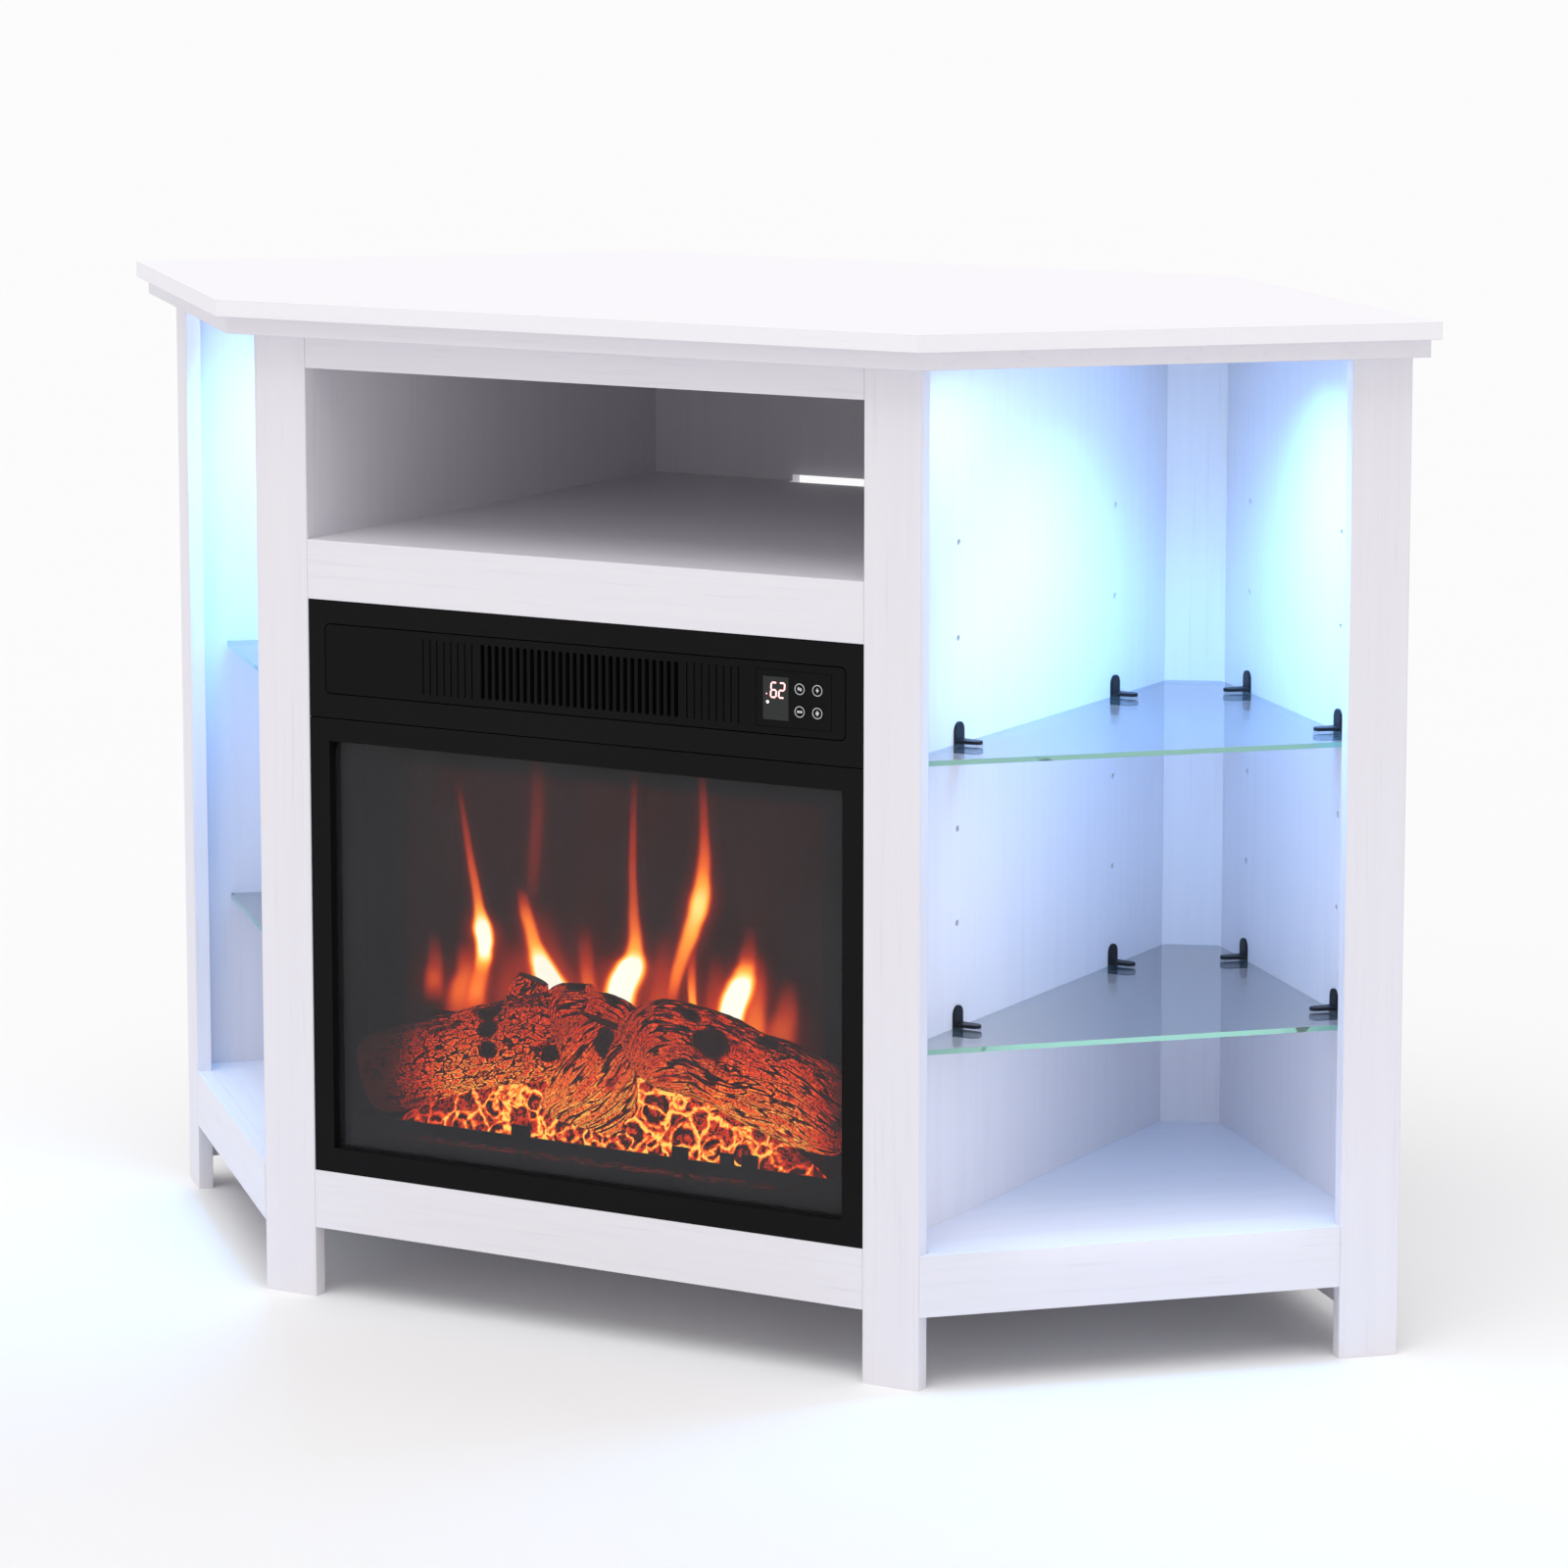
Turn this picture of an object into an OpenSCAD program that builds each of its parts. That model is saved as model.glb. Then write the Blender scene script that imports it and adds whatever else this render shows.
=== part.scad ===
// Corner TV cabinet with an electric fireplace insert in its straight front and a lit,
// glass-shelved bay in each 45 degree wing.
//
// The plan is a hexagon that pushes into the corner of a room: a front, two wings square
// to the room walls, two wall sides and a short rear. Everything is drawn with the front
// faces of the posts on y = 0 and the floor on z = 0, then moved forward by mid_y so that
// the origin lies on the floor under the middle of the top. The right half is drawn, and
// the left half is its mirror image.

/* [Outline] */
// Height from the floor to the top of the slab
total_h = 800; // [790:5:840]
// Width of the straight front over both front posts
front_w = 596; // [586:2:640]
// Length of each wing, from the front corner to its end against the room wall
wing_len = 385; // [377:1:410]
// How far the rear panel's front face reaches past the partitions
rear_reach = 16.6; // [14:0.2:24]

/* [Top] */
// Thickness of the top slab
slab_t = 13; // [10:0.5:18]
// Overhang of the slab past the front and the wings
slab_over = 32; // [28:1:40]
// Overhang of the slab past the wall sides
slab_wall_over = 10; // [7:1:20]
// Overhang of the slab past the rear panel
slab_rear_over = 28; // [20:1:36]
// Thickness of the moulding board under the slab
moulding_t = 14; // [10:0.5:18]
// Overhang of the moulding past the front and the wings
moulding_over = 22.5; // [16:0.5:27]
// Overhang of the moulding past the wall sides
moulding_wall_over = 5; // [2:1:6]
// Overhang of the moulding past the rear panel
moulding_rear_over = 18; // [10:1:19]

/* [Posts and rails] */
// Thickness of posts and rails
face_t = 12.5; // [10:0.5:16]
// Width of a front post
post_w = 48.4; // [44:0.2:54]
// Width of a wing post
wing_post_w = 47.7; // [42:0.3:54]
// Clear height under the bottom rails
rail_z = 57; // [45:1:70]
// Height of the bottom rails
rail_h = 47; // [38:1:54]
// Height of the rail over the insert
shelf_rail_h = 47; // [40:1:54]
// Height of the header rail under the moulding
header_h = 26; // [18:1:34]
// Small chamfer along the visible vertical edges
edge_ease = 0.6; // [0.3:0.1:1.2]

/* [Panels] */
// Thickness of partitions, shelf, floors and wall-side panels
board_t = 15; // [14:0.5:18]
// Thickness of the rear panel and rear rail
back_t = 12; // [9:1:15]
// Set-back of the wall-side panels from the wing ends
wall_inset = 5; // [2:0.5:8]
// Gap between the floor and the wall-side panels
wall_lift = 22; // [12:1:40]
// Distance from the start of a rear stile to the rear panel
stile_setback = 48; // [42:1:60]
// Thickness of the rear stile
stile_t = 12; // [9:1:15]
// Turn of the rear stile out of the front plane, degrees
stile_turn = 22.5; // [18:0.5:27]
// Length of the cable slot at the back of the media shelf
cable_slot_w = 226; // [120:2:300]
// Depth of the cable slot
cable_slot_d = 10; // [6:1:14]
// Height of the gap that the rear panel leaves over the cable slot
cable_gap_h = 5; // [3:0.5:12]

/* [Glass shelves] */
// Thickness of the glass
glass_t = 4; // [3:0.5:5]
// Set-back of the glass edge behind the wing face
glass_front = 36; // [30:1:50]
// Gap between the glass and the panels round it
glass_gap = 2.6; // [2.4:0.1:3.4]
// Height of the lowest row of shelf-pin holes
pin_row_z = 261; // [250:1:275]
// Pitch of the rows of holes
pin_pitch = 73.5; // [66:0.5:76]
// Number of rows
pin_rows = 6; // [5:1:6]
// Row that carries the upper shelf, the lowest row being 0
upper_shelf_row = 3; // [2:1:4]
// Front column of holes in a partition, from the post faces
pin_y_front = 122.5; // [100:0.5:150]
// Rear column of holes in a partition, from the rear panel
pin_rear_setback = 141.5; // [120:0.5:170]
// Front column of holes in a wall-side panel, from the wing face
pin_s_front = 90; // [80:1:120]
// Distance between the two columns of holes in a wall-side panel
pin_s_span = 203; // [160:1:210]
// Radius of a shelf-pin hole
pin_hole_r = 2.5; // [2.4:0.1:3.5]
// Depth of a shelf-pin hole
pin_hole_d = 10; // [8:0.5:12]
// Width of a shelf clip
clip_w = 14; // [10:0.5:18]
// Thickness of a clip's upright tab
clip_tab_t = 2; // [1.5:0.1:2.2]
// Thickness of a clip's tongue, under the glass
clip_tongue_t = 3; // [2:0.5:4]
// Reach of a clip's tongue from the panel
clip_reach = 21; // [16:1:26]
// Height of a clip's pin over the top of the glass
clip_rise = 7; // [6:0.5:9]

/* [Bay lighting] */
// Width of the light channel
led_w = 14; // [12:0.5:18]
// Depth of the light channel, and of its groove in the moulding board
led_h = 8; // [6:0.5:9]
// Wall of the light channel
led_wall = 1.4; // [1:0.1:2]
// Set-back of the light channel behind the wing face
led_inset = 20; // [18:1:30]
// Play of the light channel in its groove, and of the strip in the channel
led_play = 0.2; // [0.1:0.05:0.4]
// Length of the light channel
led_len = 290; // [240:5:300]

/* [Fireplace insert] */
// Set-back of the insert's face behind the posts
insert_recess = 1; // [0:0.5:3]
// Gap round the insert's face
insert_gap = 0.4; // [0.2:0.1:0.8]
// Depth of the window frame and of the fascia
frame_d = 14; // [13:0.5:18]
// Border of the window frame at the sides and top
frame_border = 18; // [14:0.5:24]
// Border of the window frame at the bottom
frame_sill = 19.5; // [14:0.5:26]
// Height of the window frame
window_frame_h = 366.6; // [350:0.2:380]
// Height of the fascia over the window frame
fascia_h = 93.2; // [88:0.2:100]
// Seam between the window frame and the fascia
seam_gap = 0.8; // [0.4:0.1:1.2]
// Thickness of the window glass
pane_t = 4; // [3:0.5:5]
// Depth of the reveal in front of the window glass
pane_reveal = 8; // [6:0.5:8.5]
// How far the frame's lip covers the edge of the glass
pane_lip = 6; // [4:0.5:8]
// Thickness of the casing's sheet steel
sheet_t = 1.2; // [0.8:0.1:2]
// Gap between the casing and the partitions
casing_side_gap = 9.6; // [6:0.2:12]
// Gap between the casing and the shelf rail
casing_top_gap = 4; // [2:0.5:8]
// Distance from the post faces to the casing's back
casing_back_y = 150; // [142:1:180]
// Number of air louvres in the casing's back
louvre_n = 12; // [8:1:16]
// Pitch of the louvres
louvre_pitch = 16; // [12:1:20]
// Width of a louvre
louvre_w = 5; // [3:0.5:8]
// Height of a louvre
louvre_h = 34; // [24:1:40]

/* [Control strip] */
// Border of the fascia at the ends of the control panel
panel_side = 15.7; // [10:0.1:20]
// Height of the control panel
panel_h = 54.5; // [52:0.5:58]
// Thickness of the control panel
panel_t = 6; // [5:0.5:7]
// Corner radius of the control panel
panel_r = 4; // [2:0.5:8]
// Height of the panel's centre above the bottom of the fascia
panel_rise = 47; // [42:0.5:50]
// Width of the groove round the panel
panel_groove = 0.9; // [0.6:0.1:0.95]
// Width of the ledge that the panel seats on
panel_ledge = 5; // [3:0.5:6]
// Pitch of the vent slots
slot_pitch = 6.45; // [6:0.05:6.5]
// Width of a vent slot
slot_w = 3.6; // [3:0.1:4]
// Height of the vent slots and flutes
slot_h = 43; // [38:0.5:44]
// Number of blind flutes at each end of the vent
flute_n = 8; // [4:1:8]
// Distance from the outermost flute to the keypad
flute_margin = 12; // [8:0.5:16]
// Width of a flute
flute_w = 1.6; // [1:0.1:2.4]
// Depth of a flute
flute_d = 1; // [0.5:0.1:2]
// Width of the display window
display_w = 22; // [18:0.5:24]
// Height of the display window
display_h = 33; // [28:0.5:35]
// Thickness of the display window
display_t = 1.5; // [1:0.1:2]
// Margin between the keypad and the end of the control panel
keypad_margin = 11; // [8:0.5:16]
// Width of the keypad, marked off by a fine groove
keypad_w = 66; // [64:0.5:72]
// Height of the keypad
keypad_h = 44; // [40:0.5:48]
// Width of the keypad's groove
keypad_line = 0.8; // [0.5:0.1:1.2]
// Margin between the display and the keypad's groove
display_margin = 6.5; // [4:0.5:8]
// Radius of a push button
button_r = 4.4; // [3.5:0.1:5]
// Distance from the display to the middle of the inner column of buttons
button_setback = 10; // [9:0.5:12]
// Distance between the two columns
button_dx = 15.2; // [14:0.2:16]
// Distance between the two rows
button_dz = 17.2; // [16:0.2:19]
// How far a button stands out of the panel
button_proud = 0.7; // [0.4:0.1:0.8]
// Travel of a button
button_travel = 0.8; // [0.4:0.1:1]
// Radial clearance of a button in its hole
button_clear = 0.1; // [0.05:0.01:0.1]
// Flange that keeps a button in the panel, beyond its radius
button_flange = 1; // [0.6:0.1:1.4]

/* [Fire bed] */
// Distance from the post faces to the flame screen
screen_y = 62; // [58:1:66]
// Thickness of the flame screen
screen_t = 3; // [2:0.5:4]
// Height of the log tray above the casing's floor
tray_rise = 16; // [12:1:17]
// Height of the front fret
fret_h = 27; // [20:1:32]
// Thickness of the front fret
fret_t = 2; // [1.5:0.1:3]
// Gap between the window glass and the fret
fret_gap = 4.5; // [3:0.5:6]
// Gap between the fret's ends and the casing
fret_side_gap = 12.8; // [8:0.2:20]
// Height of the ember bed behind the fret
bed_front_h = 24; // [18:1:28]
// Height of the ember bed under the logs
bed_back_h = 48; // [40:1:54]
// Mean radius of the round log ends in the ember bed
coal_r = 12; // [9:0.5:13]
// Pitch of the round log ends
coal_pitch = 27; // [24:0.5:32]
// Mean radius of a log
log_r = 29; // [25:0.5:31]
// Depth of the bark's ridges as a share of the log's radius
bark_depth = 0.05; // [0.02:0.01:0.09]

/* [Flame drive] */
// Height of the flame rotor above the casing's floor
rotor_rise = 62; // [50:1:75]
// Distance from the post faces to the rotor's axis
rotor_y = 100; // [95:1:108]
// Radius of the rotor's rod
rod_r = 2.5; // [2:0.1:3.5]
// Radius of the rotor over its reflectors
rotor_r = 24; // [18:0.5:27]
// Pitch of the reflector stations along the rod
rotor_pitch = 30; // [26:1:36]
// Width of a reflector
reflector_w = 14; // [10:0.5:18]
// Thickness of a reflector
reflector_t = 0.8; // [0.5:0.1:1.2]
// Gap between the light board's ends and the casing
lamp_board_gap = 38.8; // [20:0.2:60]
// Height of the light board
lamp_board_h = 18; // [14:0.5:22]
// Pitch of the lamps on the light board
lamp_pitch = 25; // [18:1:40]
// Size of a lamp
lamp_size = 4; // [3:0.5:5]
// Running clearance of rods and shafts in their bearings
run_clear = 0.05; // [0.03:0.01:0.09]
// Radius of the rotor's gearmotor
rotor_motor_r = 21; // [17:0.5:25]
// Thickness of the rotor's gearmotor
rotor_motor_t = 20; // [16:0.5:22]

/* [Warm-air blower] */
// Radius of the blower wheel
wheel_r = 22; // [18:0.5:23]
// Length of the blower wheel
wheel_len = 180; // [160:2:184]
// Number of blades
blade_n = 18; // [12:1:24]
// Radius of the blower shaft
shaft_r = 3; // [2.5:0.1:4]
// Distance from the post faces to the blower's axis
blower_y = 88; // [84:1:94]
// Gap between the wheel and its housing
wheel_gap = 4; // [3:0.5:4.5]
// Radius of the blower motor
blower_motor_r = 25; // [20:0.5:27]
// Length of the blower motor
blower_motor_len = 36; // [30:1:44]
// Depth of the heating element
heater_d = 15; // [10:0.5:18]
// Distance from the fascia's back to the heating element
heater_gap = 8; // [5:0.5:14]
// Pitch of the heating element's fins
fin_pitch = 5; // [4:0.5:8]
// Width of a foot under the blower housing
foot_w = 20; // [14:1:30]
// Depth of that foot
foot_d = 15; // [10:1:20]

/* [Fixings] */
// Radius of a screw's shank
screw_r = 1.9; // [1.6:0.1:2.2]
// Length of a screw's shank
screw_len = 13; // [11.5:0.5:14]
// Radius of a screw's head
screw_head_r = 3.8; // [3.2:0.1:4.5]
// Height of a screw's head
screw_head_t = 2; // [1.5:0.1:2.6]
// Height of an insert bracket
bracket_h = 30; // [24:1:40]
// Length of a bracket's legs
bracket_leg = 34; // [28:1:40]
// Thickness of a bracket
bracket_t = 1.5; // [1.2:0.1:2.5]
// Height of the brackets' centres above the casing's floor
bracket_rise = 215; // [150:5:300]
// Radius of the mains lead's way through the casing
gland_bore_r = 3.6; // [3:0.1:4.5]
// Distance from the casing's side to the mains lead
gland_side = 45; // [30:1:80]
// Height of the mains lead above the casing's floor
gland_rise = 25; // [18:1:40]

/* [Hidden] */

$fn = 32;
root2 = sqrt(2);
cut = 1;              // how far a cutting tool runs past the face that it cuts
left = -1;
right = 1;

// Plan of the cabinet
half_front = front_w / 2;
open_half = half_front - post_w;
wall_k = half_front + wing_len * root2;         // x + y along the wall side
wall_face = wall_inset + board_t;               // inner face of a wall-side panel
inner_k = wall_k - wall_face * root2;
bay_x = open_half + board_t;                    // bay side of a partition
back_y = inner_k - bay_x - rear_reach;          // front of the rear panel
stile_y = back_y - stile_setback;
rear_y = back_y + back_t;
slab_rear = rear_y + slab_rear_over;
led_start = (wing_len - led_len) / 2;           // along the wing
mid_y = (slab_rear - slab_over) / 2;

// Heights
post_h = total_h - slab_t - moulding_t;
floor_z = rail_z + rail_h;                      // top of the bay floors and the centre base
seam_z = floor_z + window_frame_h;
fascia_z = seam_z + seam_gap;
shelf_rail_z = fascia_z + fascia_h + insert_gap;
shelf_z = shelf_rail_z + shelf_rail_h;          // top of the media shelf

// Insert
face_y = insert_recess;
behind_y = face_y + frame_d;                    // back of the window frame and the fascia
insert_half = open_half - insert_gap;
casing_half = open_half - casing_side_gap;
casing_top = shelf_rail_z - casing_top_gap;
liner_half = casing_half - sheet_t;
liner_floor = floor_z + sheet_t;
liner_back = casing_back_y - sheet_t;
divider_z = seam_z - sheet_t - seam_gap;
window_half = insert_half - frame_border;
window_z = floor_z + frame_sill;
window_top = seam_z - frame_border;
pane_y = face_y + pane_reveal;
tray_z = liner_floor + tray_rise;
fret_y = pane_y + pane_t + fret_gap;
bed_y = fret_y + fret_t + 0.5;

// Control strip
panel_half = insert_half - panel_side;
panel_w = 2 * panel_half;
panel_z = fascia_z + panel_rise;                // height of the panel's centre line
keypad_x = panel_half - keypad_margin - keypad_w / 2;
display_x = keypad_x - keypad_w / 2 + display_margin + display_w / 2;
button_x = display_x + display_w / 2 + button_setback;
vent_half = keypad_x - keypad_w / 2 - flute_margin;
slot_n = 2 * floor((vent_half - flute_n * slot_pitch) / slot_pitch);
panel_back = face_y + panel_t;
board_y = panel_back + 5;                       // front of the circuit board
board_thick = 1.6;
flange_t = 1;

// Fire bed
fret_half = liner_half - fret_side_gap;
bed_half = fret_half - 8;                       // half width of the ember bed
coal_n = floor(2 * (bed_half - coal_r) / coal_pitch);

// Flame drive and blower
rotor_z = liner_floor + rotor_rise;
duct_half = slot_h / 2;
housing_r = wheel_r + wheel_gap;
housing_half = wheel_len / 2 + 3;
blower_z = panel_z;

function mirror_pts(p) = concat(p, [for (i = [len(p) - 1:-1:0]) [-p[i][0], p[i][1]]]);

// Where the line n behind the wing face meets the line w inside the wall side
function wing_wall(n, w) = [
    (half_front + wall_k - (n + w) * root2) / 2,
    (wall_k - half_front + (n - w) * root2) / 2,
];
// Where the line n behind the wing face crosses a given x
function wing_at(n, x) = [x, x - half_front + n * root2];
// Where the line n in front of the stile's face crosses a given x
function stile_at(n, x) = [x, stile_y - n / cos(stile_turn) + (x - bay_x) * tan(stile_turn)];
// Where that line meets x + y = k
function stile_wall(n, k) =
    let (s = stile_at(n, bay_x), t = (k - s[0] - s[1]) / (cos(stile_turn) + sin(stile_turn)))
    [s[0] + t * cos(stile_turn), s[1] + t * sin(stile_turn)];
// Plan of a top board with overhangs at the front, the wall sides and the rear
function top_plan(over, wall_over, rear) = mirror_pts([
    [half_front + over * (root2 - 1), -over],
    wing_wall(-over, -wall_over),
    [wall_k + wall_over * root2 - rear, rear],
]);
function row_z(i) = pin_row_z + i * pin_pitch;
function partition_pin_y() = [pin_y_front, back_y - pin_rear_setback];
function wall_pin_s() = [pin_s_front, pin_s_front + pin_s_span];
function glass_top(row) = row_z(row) - clip_rise;

// ---------------------------------------------------------------- placing
module place() {
    translate([0, -mid_y, 0]) children();
}

module on_side(side) {
    place() if (side == left) mirror([1, 0, 0]) children();
        else children();
}

// x runs along the wing from the front corner, y runs into the bay
module on_wing() {
    translate([half_front, 0, 0]) rotate([0, 0, 45]) children();
}

// x runs along the wall side from the wing's end to the rear, y runs into the bay
module on_wall() {
    translate(concat(wing_wall(0, 0), [0])) rotate([0, 0, 135]) children();
}

// A board seen from above, with its two front edges eased
module eased_plan(w, t) {
    polygon([
        [0, t], [0, edge_ease], [edge_ease, 0],
        [w - edge_ease, 0], [w, edge_ease], [w, t],
    ]);
}

// A cylinder along +y
module rod_y(r, len) {
    rotate([-90, 0, 0]) cylinder(r = r, h = len);
}

// A cylinder along +x
module rod_x(r, len) {
    rotate([0, 90, 0]) cylinder(r = r, h = len);
}

// A flat shape drawn as (y, z), carried along x
module along_x(len) {
    rotate([90, 0, 90]) linear_extrude(len) children();
}

// ---------------------------------------------------------------- top
module top_slab() {
    color("white") place() translate([0, 0, total_h - slab_t])
        linear_extrude(slab_t) polygon(top_plan(slab_over, slab_wall_over, slab_rear));
}

module top_moulding() {
    color("white") difference() {
        place() translate([0, 0, post_h])
            linear_extrude(moulding_t)
                polygon(top_plan(moulding_over, moulding_wall_over, rear_y + moulding_rear_over));
        for (side = [left, right]) on_side(side) on_wing()
            translate([led_start - led_play, led_inset - led_play, post_h - cut])
                cube([led_len + 2 * led_play, led_w + 2 * led_play, led_h + cut]);
    }
}

// ---------------------------------------------------------------- posts and rails
module front_post(side) {
    color("white") on_side(side) translate([open_half, 0, 0])
        linear_extrude(post_h) eased_plan(post_w, face_t);
}

module wing_post(side) {
    color("white") on_side(side) on_wing() translate([wing_len - wing_post_w, 0, 0])
        linear_extrude(post_h) eased_plan(wing_post_w, face_t);
}

module cross_rail(z, h) {
    color("white") place() translate([-open_half, 0, z])
        linear_extrude(h) eased_plan(2 * open_half, face_t);
}

module header_rail() {
    cross_rail(post_h - header_h, header_h);
}

module shelf_rail() {
    cross_rail(shelf_rail_z, shelf_rail_h);
}

module bottom_rail() {
    cross_rail(rail_z, rail_h);
}

// The front end of a wing rail is cut to lie along the front post's side
module wing_rail(side) {
    run = wing_len - wing_post_w;
    color("white") on_side(side) translate([0, 0, rail_z]) linear_extrude(rail_h)
        intersection() {
            translate([half_front, 0]) rotate(45) eased_plan(run, face_t);
            translate([half_front, 0]) square([run, run]);
        }
}

// ---------------------------------------------------------------- panels
module pin_hole() {
    rod_y(pin_hole_r, pin_hole_d + cut);
}

module partition(side) {
    color("whitesmoke") on_side(side) difference() {
        translate([open_half, face_t, rail_z])
            cube([board_t, back_y - face_t, post_h - rail_z]);
        for (i = [0:pin_rows - 1], y = partition_pin_y())
            translate([bay_x + cut, y, row_z(i)]) rotate([0, 0, 90]) pin_hole();
        for (z = rear_screw_heights())
            translate([open_half + board_t / 2, back_y - screw_len - cut, z])
                rod_y(screw_r + run_clear, screw_len + 2 * cut);
        bracket_screw_way(open_half, screw_len - bracket_t);
    }
}

module rear_wall(side) {
    color("whitesmoke") on_side(side) difference() {
        translate([0, 0, wall_lift]) linear_extrude(post_h - wall_lift) polygon([
            wing_wall(face_t, wall_inset),
            wing_wall(face_t, wall_face),
            [inner_k - rear_y, rear_y],
            [wall_k - wall_inset * root2 - rear_y, rear_y],
        ]);
        for (i = [0:pin_rows - 1], s = wall_pin_s())
            on_wall() translate([s, wall_face + cut, row_z(i)]) rotate([0, 0, 180]) pin_hole();
    }
}

// The stile closes the corner between partition and wall side, and stands on the floor
module rear_stile(side) {
    color("whitesmoke") on_side(side) linear_extrude(post_h) polygon([
        stile_at(0, bay_x),
        stile_wall(0, inner_k),
        stile_wall(-stile_t, inner_k),
        stile_at(-stile_t, bay_x),
    ]);
}

module media_shelf() {
    color("whitesmoke") place() difference() {
        translate([-open_half, face_t, shelf_z - board_t])
            cube([2 * open_half, back_y - face_t, board_t]);
        translate([-cable_slot_w / 2, back_y - cable_slot_d, shelf_z - board_t - cut])
            cube([cable_slot_w, cable_slot_d + cut, board_t + 2 * cut]);
    }
}

module centre_base() {
    color("whitesmoke") place() translate([-open_half, face_t, floor_z - board_t])
        cube([2 * open_half, back_y - face_t, board_t]);
}

module bay_floor(side) {
    color("whitesmoke") on_side(side) translate([0, 0, floor_z - board_t])
        linear_extrude(board_t) polygon([
            [bay_x, face_t],
            [half_front + face_t * (1 - root2), face_t],
            wing_wall(face_t, wall_face),
            stile_wall(0, inner_k),
            stile_at(0, bay_x),
        ]);
}

// Plan of the rear boards, whose ends lie along the wall-side panels
module rear_plan() {
    polygon(mirror_pts([[inner_k - back_y, back_y], [inner_k - rear_y, rear_y]]));
}

module rear_panel() {
    z = shelf_z - board_t;
    color("whitesmoke") place() difference() {
        translate([0, 0, z]) linear_extrude(post_h - z) rear_plan();
        translate([-cable_slot_w / 2, back_y - cut, z - cut])
            cube([cable_slot_w, back_t + 2 * cut, board_t + cable_gap_h + cut]);
        rear_screw_ways([rear_screw_heights()[1], rear_screw_heights()[2]]);
    }
}

module rear_rail() {
    color("whitesmoke") place() difference() {
        translate([0, 0, rail_z]) linear_extrude(rail_h) rear_plan();
        rear_screw_ways([rear_screw_heights()[0]]);
    }
}

// ---------------------------------------------------------------- glass shelves
module glass_shelf(side, row) {
    k = inner_k - glass_gap * root2;
    x = bay_x + glass_gap;
    color("palegreen", 0.4) on_side(side) translate([0, 0, glass_top(row) - glass_t])
        linear_extrude(glass_t) polygon([
            wing_at(glass_front, x),
            wing_wall(glass_front, wall_face + glass_gap),
            stile_wall(glass_gap, k),
            stile_at(glass_gap, x),
        ]);
}

// A clip with its pin hole's centre at the origin and the panel behind y = 0: a pin, an
// upright tab with a round head, and a tongue that the glass lies on
module shelf_clip() {
    tongue_z = -clip_rise - glass_t - clip_tongue_t;
    head_z = 2.5;
    translate([0, -pin_hole_d + 0.5, 0]) rod_y(pin_hole_r - run_clear, pin_hole_d);
    translate([-clip_w / 2, 0, tongue_z]) cube([clip_w, clip_tab_t, head_z - tongue_z]);
    translate([0, 0, head_z]) rod_y(clip_w / 2, clip_tab_t);
    translate([-clip_w / 2, 0, tongue_z])
        cube([clip_w, clip_reach - clip_w / 2, clip_tongue_t]);
    translate([0, clip_reach - clip_w / 2, tongue_z]) cylinder(r = clip_w / 2, h = clip_tongue_t);
}

module shelf_clips() {
    color("black") for (side = [left, right], row = [0, upper_shelf_row]) on_side(side) {
        for (y = partition_pin_y())
            translate([bay_x, y, row_z(row)]) rotate([0, 0, -90]) shelf_clip();
        for (s = wall_pin_s())
            on_wall() translate([s, wall_face, row_z(row)]) shelf_clip();
    }
}

// ---------------------------------------------------------------- bay lighting
module led_channel(side) {
    color("silver") on_side(side) on_wing() translate([led_start, led_inset, post_h])
        difference() {
            cube([led_len, led_w, led_h]);
            translate([-cut, led_wall, -cut])
                cube([led_len + 2 * cut, led_w - 2 * led_wall, led_h - led_wall + cut]);
        }
}

module led_strip(side) {
    rise = 1;
    color("lightcyan") on_side(side) on_wing()
        translate([led_start, led_inset + led_wall + led_play, post_h + rise])
            cube([led_len, led_w - 2 * led_wall - 2 * led_play, led_h - led_wall - rise]);
}

// ---------------------------------------------------------------- insert: casing
module insert_casing() {
    depth = casing_back_y - behind_y;
    color("dimgray") place() difference() {
        translate([-casing_half, behind_y, floor_z])
            cube([2 * casing_half, depth, casing_top - floor_z]);
        translate([-liner_half, behind_y - cut, liner_floor])
            cube([2 * liner_half, depth - sheet_t + cut, casing_top - sheet_t - liner_floor]);
        for (i = [0:louvre_n - 1])
            translate([
                (i - (louvre_n - 1) / 2) * louvre_pitch - louvre_w / 2,
                liner_back - cut,
                blower_z - louvre_h / 2,
            ])
                cube([louvre_w, sheet_t + 2 * cut, louvre_h]);
        translate([gland_x(), liner_back - cut, gland_z()])
            rod_y(gland_bore_r + gland_wall() + run_clear, sheet_t + 2 * cut);
        for (side = [left, right])
            translate([side * casing_screw_x(), liner_back - cut, bracket_z()])
                rod_y(screw_r + run_clear, sheet_t + 2 * cut);
    }
}

// Keeps the heat of the blower away from the fire bed
module firebox_divider() {
    color("dimgray") place() translate([-liner_half, behind_y, divider_z])
        cube([2 * liner_half, liner_back - behind_y, sheet_t]);
}

// ---------------------------------------------------------------- insert: window
module window_frame() {
    color("black") place() difference() {
        translate([-insert_half, face_y, floor_z])
            cube([2 * insert_half, frame_d, window_frame_h]);
        translate([-window_half, face_y - cut, window_z])
            cube([2 * window_half, frame_d + 2 * cut, window_top - window_z]);
        translate([-window_half - pane_lip, pane_y, window_z - pane_lip])
            cube([
                2 * (window_half + pane_lip),
                frame_d,
                window_top - window_z + 2 * pane_lip,
            ]);
    }
}

module window_glass() {
    play = 0.3;
    color("dimgray", 0.5) place()
        translate([-window_half - pane_lip + play, pane_y, window_z - pane_lip + play])
            cube([
                2 * (window_half + pane_lip - play),
                pane_t,
                window_top - window_z + 2 * (pane_lip - play),
            ]);
}

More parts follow.
